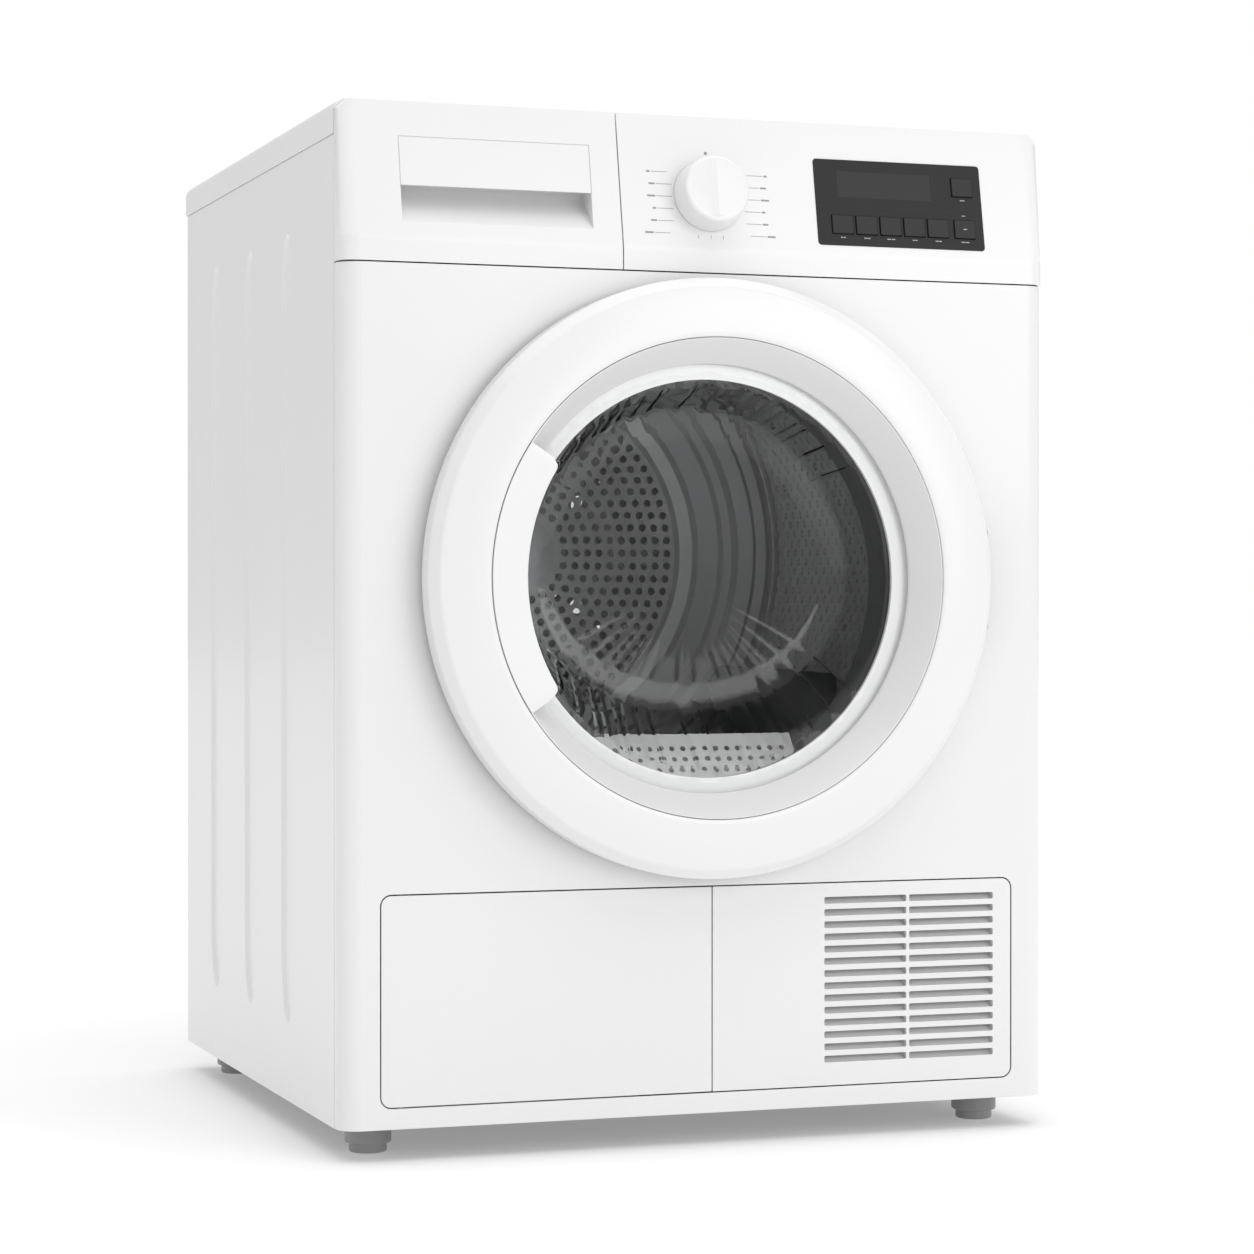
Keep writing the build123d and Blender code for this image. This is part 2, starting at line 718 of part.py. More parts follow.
def make_drum_shell():
    """Drum shell: front lip, rounded shoulder, a long wall with stiffening beads and a rear seam."""
    r = drum_radius
    with BuildPart() as drum_shell:
        turned(0, drum_z, [
            (drum_front, 212.3), (76, 212.3), (80, 214), (98, 243), (106, 250), (116, r - 1.7),
            (130, r - 1.7), (134, r - 4.2), (140, r - 4.2), (144, r - 1.7), (464, r - 1.7),
            (468, r - 4.2), (474, r - 4.2), (478, r - 1.7), (492, r - 1.7), (492, r), (477, r),
            (473, r - 2.5), (469, r - 2.5), (465, r), (143, r), (139, r - 2.5), (135, r - 2.5),
            (131, r), (115, r), (105, 251.7), (97, 244.4), (78, 215.6), (75, 213.9), (drum_front, 213.9),
        ])
    save(drum_shell, "drum_shell")


def make_drum_rear_wall():
    """Rear wall of the drum: a perforated disc inside three stepped rings, crimped to the shell."""
    thick = 1.6
    rim = drum_radius + thick
    steps = [
        (500, 34), (500, 156), (496, 160), (494, 172), (488, 176), (488, 196), (484, 200), (484, 208),
        (478, 213), (478, 228), (483, 233), (483, 243), (490, 249), (492.1, 253.5), (492.1, rim),
    ]
    back = [(depth + thick, radius) for depth, radius in reversed(steps)]
    first_ring, ring_step, hole_pitch, rings = 46, 11.4, 12.2, 10
    with BuildPart() as drum_rear_wall:
        turned(0, drum_z, steps + back)
        ring(0, drum_z, 488, 493, drum_radius + 0.05, rim)
        with BuildSketch(upright(rear_disc + 4)):
            with Locations((0, drum_z)):
                for count in range(rings):
                    circle_radius = first_ring + count * ring_step
                    with PolarLocations(circle_radius, round(2 * pi * circle_radius / hole_pitch)):
                        Circle(3.6)
        extrude(amount=8, mode=Mode.SUBTRACT)
    save(drum_rear_wall, "drum_rear_wall")


def make_drum_shaft():
    """Drum shaft: a flanged hub in the middle of the rear wall and a stub axle behind it."""
    with BuildPart() as drum_shaft:
        rod(0, drum_z, rear_disc - 3, rear_disc + 1.6, 33.9)
        rod(0, drum_z, rear_disc + 1, rear_disc + 48, 10)
        turned(0, drum_z, [
            (rear_disc + 1.6, 0), (rear_disc + 1.6, 26), (rear_disc + 13, 14), (rear_disc + 13, 0),
        ])
    save(drum_shaft, "drum_shaft")


lifter_angles = (-35, 85, 205)


def make_drum_lifters():
    """Three lifters that run along the drum wall, each a tapered hollow-backed moulding."""
    height = 56
    with BuildPart() as drum_lifters:
        for angle in lifter_angles:
            wall = Plane(origin=(0, front + 356, drum_z), x_dir=(0, 1, 0),
                         z_dir=(-cos(radians(angle)), 0, -sin(radians(angle))))
            with BuildSketch(wall.offset(-(drum_radius - 1))):
                RectangleRounded(206, 84, 30)
            with BuildSketch(wall.offset(-(drum_radius - height))):
                RectangleRounded(130, 24, 11)
            loft()
        with BuildSketch(upright(470)):
            with Locations((0, drum_z)):
                Circle(drum_radius - 2.1)
        extrude(amount=300, mode=Mode.INTERSECT)
    save(drum_lifters, "drum_lifters")


def make_rear_bulkhead():
    """Rear bulkhead: the plate behind the drum with the felt's seat, air holes and bearing hole."""
    with BuildPart() as rear_bulkhead:
        with BuildSketch(upright(rear_disc + 28)):
            with Locations((0, 465)):
                Rectangle(576, 550)
            with Locations((0, drum_z)):
                Circle(18, mode=Mode.SUBTRACT)
                with PolarLocations(75, 8):
                    Circle(20, mode=Mode.SUBTRACT)
                with PolarLocations(130, 12, 15):
                    Circle(24, mode=Mode.SUBTRACT)
        extrude(amount=2)
        ring(0, drum_z, rear_disc + 5, rear_disc + 26.5, 236.5, 239.5)
    save(rear_bulkhead, "rear_bulkhead")


def make_rear_bearing():
    """Plain bush in the rear bulkhead that carries the drum shaft."""
    with BuildPart() as rear_bearing:
        ring(0, drum_z, rear_disc + 20, rear_disc + 44, 10.05, 17.9)
        ring(0, drum_z, rear_disc + 28, rear_disc + 31, 17, 30)
    save(rear_bearing, "rear_bearing")


# ---------------------------------------------------------------- machinery

def make_heat_exchanger():
    """Condenser: a finned block on a drawer front with a grip, in its bay behind the flap."""
    with BuildPart() as heat_exchanger:
        block(-260, -52, 31, 37, 31, 181)
        block(-170, -142, 18, 32, 90, 122)
        block(-164, -148, 17, 26, 95, 117, Mode.SUBTRACT)
        block(-250, -62, 36, 430, 40, 46)
        block(-250, -62, 36, 430, 166, 172)
        for step in range(16):
            depth = 44 + step * 25
            block(-250, -62, depth, depth + 2, 45, 167)
        for x in (-240, -200, -160, -120, -74):
            block(x - 4, x + 4, 36, 430, 70, 78)
            block(x - 4, x + 4, 36, 430, 130, 138)
    save(heat_exchanger, "heat_exchanger")


def make_motor_housing():
    """Motor shell: two end shields round the windings, open in the middle for the rotor."""
    with BuildPart() as motor_housing:
        rod(motor_x, motor_z, 215, 330, 62)
        rod(motor_x, motor_z, 221, 324, 46, Mode.SUBTRACT)
        rod(motor_x, motor_z, 210, 335, 7.05, Mode.SUBTRACT)
        with BuildSketch(upright(326)):
            with Locations((motor_x, motor_z)):
                with PolarLocations(54, 12):
                    RectangleRounded(14, 4, 1.9)
        extrude(amount=-6, mode=Mode.SUBTRACT)
    save(motor_housing, "motor_housing")


def fan_wheel(d0, d1, radius, blades):
    """A radial fan wheel on the motor shaft: back plate, hub and upright blades."""
    ring(motor_x, motor_z, d1 - 2, d1, 7, radius)
    ring(motor_x, motor_z, d0 + 4, d1, 7, 14)
    with BuildSketch(upright(d1)) as vanes:
        with Locations((motor_x, motor_z)):
            with PolarLocations(radius * 0.62, blades):
                Rectangle(radius * 0.7, 1.8)
    extrude(vanes.sketch, amount=d1 - d0)


def make_rotor_group():
    """What turns with the motor: the rotor on its long shaft and a fan at each end."""
    with BuildPart() as motor_rotor:
        rod(motor_x, motor_z, 58, 486, 7)
        rod(motor_x, motor_z, 226, 319, 45)
        for depth in (belt_depth - 10, belt_depth + 7):
            rod(motor_x, motor_z, depth, depth + 3, 13)
        rod(motor_x, motor_z, belt_depth - 8, belt_depth + 8, pulley_radius)
    save(motor_rotor, "motor_rotor")
    with BuildPart() as cooling_fan:
        fan_wheel(62, 104, 60, 12)
    save(cooling_fan, "cooling_fan")
    with BuildPart() as process_fan:
        fan_wheel(436, 476, 62, 16)
    save(process_fan, "process_fan")


def make_fan_housing():
    """Scroll round the process fan, with its inlet in front and an outlet to the rear channel."""
    with BuildPart() as fan_housing:
        rod(motor_x, motor_z, 428, 492, 74)
        block(105, 195, 484, 526, 118, 186)
        rod(motor_x, motor_z, 430.5, 489.5, 71.5, Mode.SUBTRACT)
        block(108, 192, 480, 527, 121, 183, Mode.SUBTRACT)
        rod(motor_x, motor_z, 427, 432, 38, Mode.SUBTRACT)
        block(motor_x - 30, motor_x + 30, 440, 446, 29, 48)
    save(fan_housing, "fan_housing")


def make_heater():
    """Heater in the rear channel: a steel frame that holds three straight element rows."""
    with BuildPart() as heater:
        block(90, 214, 532, 566, 196, 290)
        block(93, 211, 535, 563, 195, 291, Mode.SUBTRACT)
        for height in (215, 243, 271):
            for depth in (541, 556):
                with BuildSketch(Plane.YZ.offset(92)):
                    with Locations((front + depth, height)):
                        Circle(3.2)
                extrude(amount=120)
    save(heater, "heater")


def make_belt_and_idler():
    """Flat belt round the drum and the motor pulley, with the idler that presses on its slack run."""
    drum_inner = drum_radius + running
    pulley_inner = pulley_radius + running
    with BuildPart() as drive_belt:
        with BuildSketch(upright(belt_depth + belt_width / 2)):
            with Locations((0, drum_z)):
                Circle(drum_inner + belt_thickness)
            with Locations((motor_x, motor_z)):
                Circle(pulley_inner + belt_thickness)
            make_hull()
        extrude(amount=belt_width)
        with BuildSketch(upright(belt_depth + belt_width / 2 + 1)):
            with Locations((0, drum_z)):
                Circle(drum_inner)
            with Locations((motor_x, motor_z)):
                Circle(pulley_inner)
            make_hull()
        extrude(amount=belt_width + 2, mode=Mode.SUBTRACT)
    save(drive_belt, "drive_belt")

    idler_x, idler_z = idler_place()
    pivot_x, pivot_z = idler_pivot
    with BuildPart() as idler_arm:
        with BuildSketch(upright(belt_depth + 11)):
            with Locations((idler_x, idler_z), (pivot_x, pivot_z)):
                Circle(9)
            make_hull()
        extrude(amount=3)
        rod(pivot_x, pivot_z, belt_depth + 8, belt_depth + 25, 4)
        rod(idler_x, idler_z, belt_depth - 8, belt_depth + 9, 4)
    save(idler_arm, "idler_arm")
    with BuildPart() as idler_pulley:
        ring(idler_x, idler_z, belt_depth - 7, belt_depth + 7, 4.05, idler_radius)
        for depth in (belt_depth - 7.5, belt_depth + 6.3):
            ring(idler_x, idler_z, depth, depth + 1.2, 4.05, idler_radius + 1.5)
    save(idler_pulley, "idler_pulley")


def idler_place():
    """Centre of the idler pulley, just outside the belt's lower straight run."""
    reach_x, reach_z = motor_x, motor_z - drum_z
    span = (reach_x ** 2 + reach_z ** 2) ** 0.5
    big = drum_radius + running + belt_thickness
    small = pulley_radius + running + belt_thickness
    tilt = (big - small) / span
    along_x, along_z = reach_x / span, reach_z / span
    across_x, across_z = along_z, -along_x
    normal_x = along_x * tilt + across_x * (1 - tilt ** 2) ** 0.5
    normal_z = along_z * tilt + across_z * (1 - tilt ** 2) ** 0.5
    touch_x, touch_z = normal_x * big, drum_z + normal_z * big
    run_z = touch_z + (idler_run_x - touch_x) * (normal_x / -normal_z)
    lift = idler_radius + running
    return idler_run_x + normal_x * lift, run_z + normal_z * lift


def make_pump_and_hose():
    """Condensate pump in the base behind the exchanger, and the hose from it up to the tank."""
    hose_x, hose_depth = -255, 545
    with BuildPart() as condensate_pump:
        block(-268, -208, 456, 506, 29, 62)
        post(-238, 481, 60, 84, 20)
        block(-262, -248, 500, 553, 66, 78)
        block(-262, -230, 476, 502, 60, 74)
        post(hose_x, hose_depth, 76, 92, 4)
    save(condensate_pump, "condensate_pump")
    with BuildPart() as condensate_hose:
        with BuildLine():
            FilletPolyline(
                (hose_x, front + hose_depth, 92), (hose_x, front + hose_depth, 765),
                (hose_x, front + 442.5, 765), radius=40,
            )
        with BuildSketch(Plane(origin=(hose_x, front + hose_depth, 92), z_dir=(0, 0, 1))):
            Circle(6)
        sweep()
    save(condensate_hose, "condensate_hose")


def make_mains_inlet():
    """Mains inlet in the back panel: a socket body with three contact pins."""
    face = cabinet_depth - sheet
    with BuildPart() as mains_inlet:
        centre_x, centre_z = inlet_place
        block(centre_x - 15, centre_x + 15, face - 26, face + 1, centre_z - 12, centre_z + 12)
        block(centre_x - 19.5, centre_x + 19.5, face, face + 3, centre_z - 16, centre_z + 16)
        block(centre_x - 12, centre_x + 12, face - 18, face + 4, centre_z - 9, centre_z + 9, Mode.SUBTRACT)
        for side, rise in ((-7, -4), (7, -4), (0, 4)):
            x, z = centre_x + side, centre_z + rise
            block(x - 1, x + 1, face - 20, face - 2, z - 2.5, z + 2.5)
    save(mains_inlet, "mains_inlet")


def make_screws():
    """Pan-head screws that hold the back panel."""
    face = cabinet_depth - sheet
    with BuildPart() as screws:
        for x, z in screw_places:
            rod(x, z, face, face + 2.2, 4)
            rod(x, z, face - 9, face + 0.1, 1.7)
        for x, z in screw_places:
            block(x - 2.5, x + 2.5, face + 1.4, face + 3, z - 0.5, z + 0.5, Mode.SUBTRACT)
            block(x - 0.5, x + 0.5, face + 1.4, face + 3, z - 2.5, z + 2.5, Mode.SUBTRACT)
    save(screws, "screws")


make_base_tray()
make_side_panel(-1, "side_panel_left")
make_side_panel(1, "side_panel_right")
make_back_panel()
make_rear_cover()
make_worktop()
make_front_panel()
make_kick_grille()
make_service_flap()
for foot_name, (foot_x, foot_depth) in foot_places.items():
    make_foot(foot_name, foot_x, foot_depth)
make_tank_front()
make_water_tank()
make_tank_guide()
make_control_fascia()
make_display_panel()
make_keys()
make_control_board()
make_program_knob()
make_door_ring()
make_door_bezel()
make_door_handle()
make_door_glass()
make_door_inner_frame()
make_door_gasket()
make_hinge()
make_door_catch()
make_front_bulkhead()
make_lint_filter()
make_felts()
make_drum_shell()
make_drum_rear_wall()
make_drum_shaft()
make_drum_lifters()
make_rear_bulkhead()
make_rear_bearing()
make_heat_exchanger()
make_motor_housing()
make_rotor_group()
make_fan_housing()
make_heater()
make_belt_and_idler()
make_pump_and_hose()
make_mains_inlet()
make_screws()
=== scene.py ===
from math import atan, cos, pi, radians, sin

import bpy
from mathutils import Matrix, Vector


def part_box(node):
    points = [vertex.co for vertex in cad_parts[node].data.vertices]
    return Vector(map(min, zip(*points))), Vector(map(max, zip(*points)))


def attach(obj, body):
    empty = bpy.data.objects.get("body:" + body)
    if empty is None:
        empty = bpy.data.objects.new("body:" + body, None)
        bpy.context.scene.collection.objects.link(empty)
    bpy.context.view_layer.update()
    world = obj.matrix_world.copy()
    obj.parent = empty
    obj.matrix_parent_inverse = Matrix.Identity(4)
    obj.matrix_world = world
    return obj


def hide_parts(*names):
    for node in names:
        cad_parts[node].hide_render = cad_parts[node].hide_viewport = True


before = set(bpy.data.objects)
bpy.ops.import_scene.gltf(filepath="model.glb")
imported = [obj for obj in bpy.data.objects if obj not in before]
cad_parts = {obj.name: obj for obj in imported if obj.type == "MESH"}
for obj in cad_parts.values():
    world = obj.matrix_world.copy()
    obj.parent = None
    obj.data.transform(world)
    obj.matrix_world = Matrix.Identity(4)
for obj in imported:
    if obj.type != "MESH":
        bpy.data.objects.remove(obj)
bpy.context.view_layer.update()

# ---------------------------------------------------------------- studio
# A plain pale floor that runs out of sight, a broad overhead light and a soft box in front to
# the right, and a camera a little above the machine's middle, turned towards its left side.
millimetre = 0.001
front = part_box("front_panel")[0].y


def at_depth(depth):
    """The y of a point this many millimetres behind the machine's front face."""
    return front + depth * millimetre


bpy.ops.object.select_all(action="DESELECT")
bpy.ops.mesh.primitive_plane_add(size=40, location=(0, 8, 0))
floor = bpy.context.object
floor.name = "floor"
bpy.ops.object.transform_apply(location=True, rotation=True, scale=True)

floor_paint = bpy.data.materials.new("floor_paint")
floor_paint.use_nodes = True
shader = floor_paint.node_tree.nodes["Principled BSDF"]
shader.inputs["Base Color"].default_value = (0.72, 0.72, 0.72, 1)
shader.inputs["Emission Color"].default_value = (1, 1, 1, 1)
shader.inputs["Emission Strength"].default_value = 0.26
shader.inputs["Roughness"].default_value = 0.7
shader.inputs["Specular IOR Level"].default_value = 0.2
floor.data.materials.append(floor_paint)

world = bpy.data.worlds.new("studio")
bpy.context.scene.world = world
world.use_nodes = True
backdrop = world.node_tree.nodes["Background"]
backdrop.inputs["Color"].default_value = (1, 1, 1, 1)
backdrop.inputs["Strength"].default_value = 0.62
seen = world.node_tree.nodes.new("ShaderNodeBackground")
seen.inputs["Color"].default_value = (1, 1, 1, 1)
seen.inputs["Strength"].default_value = 1.0
path = world.node_tree.nodes.new("ShaderNodeLightPath")
either = world.node_tree.nodes.new("ShaderNodeMixShader")
world.node_tree.links.new(path.outputs["Is Camera Ray"], either.inputs["Fac"])
world.node_tree.links.new(backdrop.outputs["Background"], either.inputs[1])
world.node_tree.links.new(seen.outputs["Background"], either.inputs[2])
world_output = world.node_tree.nodes["World Output"]
world.node_tree.links.new(either.outputs["Shader"], world_output.inputs["Surface"])

machine_middle = Vector((0, 0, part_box("worktop")[1].z / 2))
for name, kind, place, size, power in (
    ("overhead_light", "SUN", (0.2, -0.3, 3.4), radians(75), 1.55),
    ("front_box", "AREA", (1.6, -3.4, 1.5), 1.8, 26),
):
    lamp = bpy.data.lights.new(name, kind)
    if kind == "SUN":
        lamp.angle = size
    else:
        lamp.size = size
    lamp.energy = power
    holder = bpy.data.objects.new(name, lamp)
    holder.location = place
    holder.rotation_euler = (machine_middle - Vector(place)).to_track_quat("-Z", "Y").to_euler()
    bpy.context.scene.collection.objects.link(holder)

camera = bpy.data.cameras.new("camera")
camera.sensor_width = 36
camera.lens = 93.48
viewer = bpy.data.objects.new("camera", camera)
viewer.location = (-0.9162, at_depth(-2422.1), 0.4206)
viewer.rotation_euler = (radians(90 - 0.197), 0, -radians(19.318))
bpy.context.scene.collection.objects.link(viewer)
bpy.context.scene.camera = viewer
bpy.context.scene.view_settings.view_transform = "Standard"


# ---------------------------------------------------------------- base tray and feet
# The base is one deep injection moulding in filled polypropylene, with a fine spark-eroded
# grain. The four feet are nylon, and their threaded stems screw into bosses in the base.
def surface(name, colour, roughness, grain, relief, mottle=0.03, spread=0.06, metallic=0.0,
            stretch=(1, 1, 1)):
    """A solid finish: a fine grain in relief, and a slow drift of colour and gloss.

    grain is the grain's size and relief its height, in metres. stretch draws the grain out."""
    material = bpy.data.materials.new(name)
    material.use_nodes = True
    nodes, links = material.node_tree.nodes, material.node_tree.links
    shader = nodes["Principled BSDF"]
    shader.inputs["Metallic"].default_value = metallic
    place = nodes.new("ShaderNodeTexCoord")
    drawn = nodes.new("ShaderNodeMapping")
    drawn.inputs["Scale"].default_value = stretch
    links.new(place.outputs["Object"], drawn.inputs["Vector"])

    fine = nodes.new("ShaderNodeTexNoise")
    fine.inputs["Scale"].default_value = 1 / grain
    fine.inputs["Detail"].default_value = 3
    links.new(drawn.outputs["Vector"], fine.inputs["Vector"])
    bump = nodes.new("ShaderNodeBump")
    bump.inputs["Strength"].default_value = 1.0
    bump.inputs["Distance"].default_value = relief
    links.new(fine.outputs["Fac"], bump.inputs["Height"])
    links.new(bump.outputs["Normal"], shader.inputs["Normal"])

    slow = nodes.new("ShaderNodeTexNoise")
    slow.inputs["Scale"].default_value = 7
    slow.inputs["Detail"].default_value = 4
    links.new(drawn.outputs["Vector"], slow.inputs["Vector"])
    tone = nodes.new("ShaderNodeValToRGB")
    tone.color_ramp.elements[0].position = 0.3
    tone.color_ramp.elements[1].position = 0.7
    tone.color_ramp.elements[0].color = [level * (1 - mottle) for level in colour] + [1]
    tone.color_ramp.elements[1].color = list(colour) + [1]
    links.new(slow.outputs["Fac"], tone.inputs["Fac"])
    links.new(tone.outputs["Color"], shader.inputs["Base Color"])
    gloss = nodes.new("ShaderNodeMapRange")
    gloss.inputs["To Min"].default_value = max(0.02, roughness - spread / 2)
    gloss.inputs["To Max"].default_value = roughness + spread / 2
    links.new(slow.outputs["Fac"], gloss.inputs["Value"])
    links.new(gloss.outputs["Result"], shader.inputs["Roughness"])
    return material


def dress(material, *nodes):
    """Give CAD nodes a finish."""
    for node in nodes:
        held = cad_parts[node]
        if held.material_slots:
            held.material_slots[0].material = material
        else:
            held.data.materials.append(material)


def turned(name, outline, centre, steps=160, solid=False, angle=32):
    """Turn an outline of (depth, radius) points, in millimetres, about a line from front to back."""
    x, z = centre
    depth, radius = outline[0]
    bpy.ops.object.select_all(action="DESELECT")
    bpy.ops.mesh.primitive_circle_add(
        vertices=steps, radius=radius * millimetre, location=(x, at_depth(depth), z), rotation=(pi / 2, 0, 0))
    piece = bpy.context.object
    piece.name = name
    bpy.ops.object.transform_apply(location=True, rotation=True, scale=True)
    bpy.ops.object.mode_set(mode="EDIT")
    bpy.ops.mesh.select_all(action="SELECT")
    ends = outline[1:] if solid else outline[1:] + outline[:1]
    for next_depth, next_radius in ends:
        step = (0, (next_depth - depth) * millimetre, 0)
        bpy.ops.mesh.extrude_edges_move(TRANSFORM_OT_translate={"value": step})
        grow = next_radius / radius
        bpy.ops.transform.resize(value=(grow, 1, grow), center_override=(x, at_depth(next_depth), z))
        depth, radius = next_depth, next_radius
    close_up(angle)
    return piece


def close_up(angle):
    """Merge doubled points, turn every face outwards and shade smoothly across gentle edges."""
    bpy.ops.mesh.select_all(action="SELECT")
    bpy.ops.mesh.remove_doubles(threshold=0.00001)
    bpy.ops.mesh.normals_make_consistent(inside=False)
    bpy.ops.object.mode_set(mode="OBJECT")
    bpy.ops.object.shade_smooth_by_angle(angle=radians(angle))


def finished(piece, material, body, slot, *nodes):
    """Put a made piece in its finish, on its body and in the place of the CAD nodes."""
    piece.data.materials.clear()
    piece.data.materials.append(material)
    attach(piece, body)
    if nodes:
        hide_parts(*nodes)


grey_moulding = surface("grey_moulding", (0.09, 0.09, 0.092), 0.5, 0.0008, 0.00006)
dress(grey_moulding, "base_tray")

foot_nylon = surface("foot_nylon", (0.33, 0.33, 0.335), 0.42, 0.0006, 0.00003)
foot_outline = [
    (0, 1e-3), (0, 13.6), (0.5, 14.6), (1.6, 15), (7, 15), (7.4, 17.2), (8, 18), (9, 18.5),
    (22.4, 18.5), (23.4, 18.1), (24, 17), (24, 5), (48, 5), (48, 1e-3),
]
for place in ("front_left", "front_right", "rear_left", "rear_right"):
    low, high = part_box(f"foot_{place}")
    x, y = (low.x + high.x) / 2, (low.y + high.y) / 2
    bpy.ops.object.select_all(action="DESELECT")
    bpy.ops.mesh.primitive_circle_add(vertices=48, radius=1e-6, location=(x, y, 0))
    foot = bpy.context.object
    foot.name = f"levelling_foot_{place}"
    bpy.ops.object.transform_apply(location=True, rotation=True, scale=True)
    bpy.ops.object.mode_set(mode="EDIT")
    bpy.ops.mesh.select_all(action="SELECT")
    for (height, radius), (next_height, next_radius) in zip(foot_outline, foot_outline[1:]):
        rise = (0, 0, (next_height - height) * millimetre)
        bpy.ops.mesh.extrude_edges_move(TRANSFORM_OT_translate={"value": rise})
        grow = next_radius / radius
        bpy.ops.transform.resize(value=(grow, grow, 1), center_override=(x, y, next_height * millimetre))
    close_up(32)
    finished(foot, foot_nylon, f"foot_{place}", "foot_plastic", f"foot_{place}")


# ---------------------------------------------------------------- side panels
# Each side is one folded steel sheet in white stoved enamel, with three long ribs pressed
# inwards to stop it drumming. It hooks into the base and is screwed to the back panel.
def enamel(name, colour, roughness):
    """Stoved enamel: a faint orange peel over a very even colour, under a clear gloss."""
    material = surface(name, colour, roughness, 0.004, 0.000008, mottle=0.012, spread=0.05)
    shader = material.node_tree.nodes["Principled BSDF"]
    shader.inputs["Coat Weight"].default_value = 0.25
    shader.inputs["Coat Roughness"].default_value = 0.12
    return material


def slab(name, low, high):
    """A rectangular block between two corners, ready to be shaped."""
    low, high = Vector(low), Vector(high)
    bpy.ops.object.select_all(action="DESELECT")
    bpy.ops.mesh.primitive_cube_add(size=1, location=(low + high) / 2, scale=high - low)
    piece = bpy.context.object
    piece.name = name
    bpy.ops.object.transform_apply(location=True, rotation=True, scale=True)
    return piece


def choose(piece, parts, test):
    """In edit mode, select just the points, edges or faces that pass a test of place."""
    bpy.ops.object.mode_set(mode="EDIT")
    bpy.ops.mesh.select_mode(type=parts)
    bpy.ops.mesh.select_all(action="DESELECT")
    bpy.ops.object.mode_set(mode="OBJECT")
    mesh = piece.data
    if parts == "VERT":
        for point in mesh.vertices:
            point.select = test(point.co)
    elif parts == "EDGE":
        for edge in mesh.edges:
            edge.select = test(*(mesh.vertices[end].co for end in edge.vertices))
    else:
        for face in mesh.polygons:
            face.select = test(face.center, face.normal)
    bpy.ops.object.mode_set(mode="EDIT")


def round_edges(piece, test, radius, segments=5):
    """Round the edges whose two ends pass a test of place."""
    choose(piece, "EDGE", test)
    bpy.ops.mesh.bevel(offset=radius * millimetre, segments=segments, affect="EDGES")
    bpy.ops.object.mode_set(mode="OBJECT")


def combine(piece, other, operation):
    """Cut another solid out of a piece, join it on or keep what they share, then throw it away."""
    bpy.ops.object.select_all(action="DESELECT")
    bpy.context.view_layer.objects.active = piece
    piece.select_set(True)
    step = piece.modifiers.new("combine", "BOOLEAN")
    step.operation = operation
    step.solver = "EXACT"
    step.object = other
    bpy.ops.object.modifier_apply(modifier=step.name)
    bpy.data.objects.remove(other)


def even_shading(piece, angle=42):
    """Shade a piece smoothly, and keep its large flat faces flat right up to their round edges."""
    bpy.ops.object.select_all(action="DESELECT")
    bpy.context.view_layer.objects.active = piece
    piece.select_set(True)
    bpy.ops.object.shade_smooth_by_angle(angle=radians(angle))
    step = piece.modifiers.new("even", "WEIGHTED_NORMAL")
    step.keep_sharp = True
    bpy.ops.object.modifier_apply(modifier=step.name)


def soften(piece, width, segments=2, angle=30):
    """Break every sharp edge of a piece with a small round, and shade it smoothly."""
    bpy.ops.object.select_all(action="DESELECT")
    bpy.context.view_layer.objects.active = piece
    piece.select_set(True)
    step = piece.modifiers.new("soften", "BEVEL")
    step.width = width * millimetre
    step.segments = segments
    step.limit_method = "ANGLE"
    step.angle_limit = radians(angle)
    bpy.ops.object.modifier_apply(modifier=step.name)
    even_shading(piece)


white_enamel = enamel("white_enamel", (0.80, 0.80, 0.80), 0.32)
rib_depths = (175, 312, 449)
rib_low, rib_high, rib_tip = 0.088, 0.733, 0.061
sheet = 0.0015


def rib_block(name, x0, x1, depth, half_width, grow):
    """A long block with arched ends, its inner face drawn in a little: the shape of one rib."""
    y = at_depth(depth)
    squeeze = half_width / (rib_tip / millimetre)
    middle, half = (rib_low + rib_high) / 2, (rib_high - rib_low) / 2 + grow * millimetre
    w = half_width * millimetre
    half_height = half * squeeze
    rib = slab(name, (min(x0, x1), y - w, middle - half_height), (max(x0, x1), y + w, middle + half_height))
    choose(rib, "EDGE", lambda a, b: abs(a.x - b.x) > 0.001)
    bpy.ops.mesh.bevel(offset=w * 0.995, segments=14, affect="EDGES")
    bpy.ops.mesh.select_all(action="SELECT")
    bpy.ops.transform.resize(value=(1, 1, 1 / squeeze), center_override=(0, y, middle))
    choose(rib, "VERT", lambda point: abs(point.x - x1) < 1e-5)
    bpy.ops.transform.resize(value=(1, 0.84, 0.985), center_override=(0, y, middle))
    bpy.ops.object.mode_set(mode="OBJECT")
    return rib


for side, node in ((-1, "side_panel_left"), (1, "side_panel_right")):
    low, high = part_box(node)
    outer = low.x if side < 0 else high.x
    inner = outer - side * sheet
    xs = sorted((outer, inner))
    side_panel = slab(f"pressed_{node}", (xs[0], low.y, low.z), (xs[1], high.y, high.z))
    for depth, reach in ((low.y, 0.0095), (high.y - sheet, 0.0145)):
        ends = sorted((inner - side * reach, inner))
        lip = slab("lip", (ends[0], depth, low.z), (ends[1] + 0.0001 * (side > 0), depth + sheet, high.z))
        combine(side_panel, lip, "UNION")
    for depth in rib_depths:
        bump = rib_block("bump", inner + side * 0.0005, inner - side * 0.0025, depth, 25, 2)
        combine(side_panel, bump, "UNION")
    for depth in rib_depths:
        dent = rib_block("dent", outer + side * 0.0005, outer - side * 0.0025, depth, 23, 0)
        combine(side_panel, dent, "DIFFERENCE")
    soften(side_panel, 0.6, 2, 25)
    finished(side_panel, white_enamel, "cabinet", "white_enamel", node)


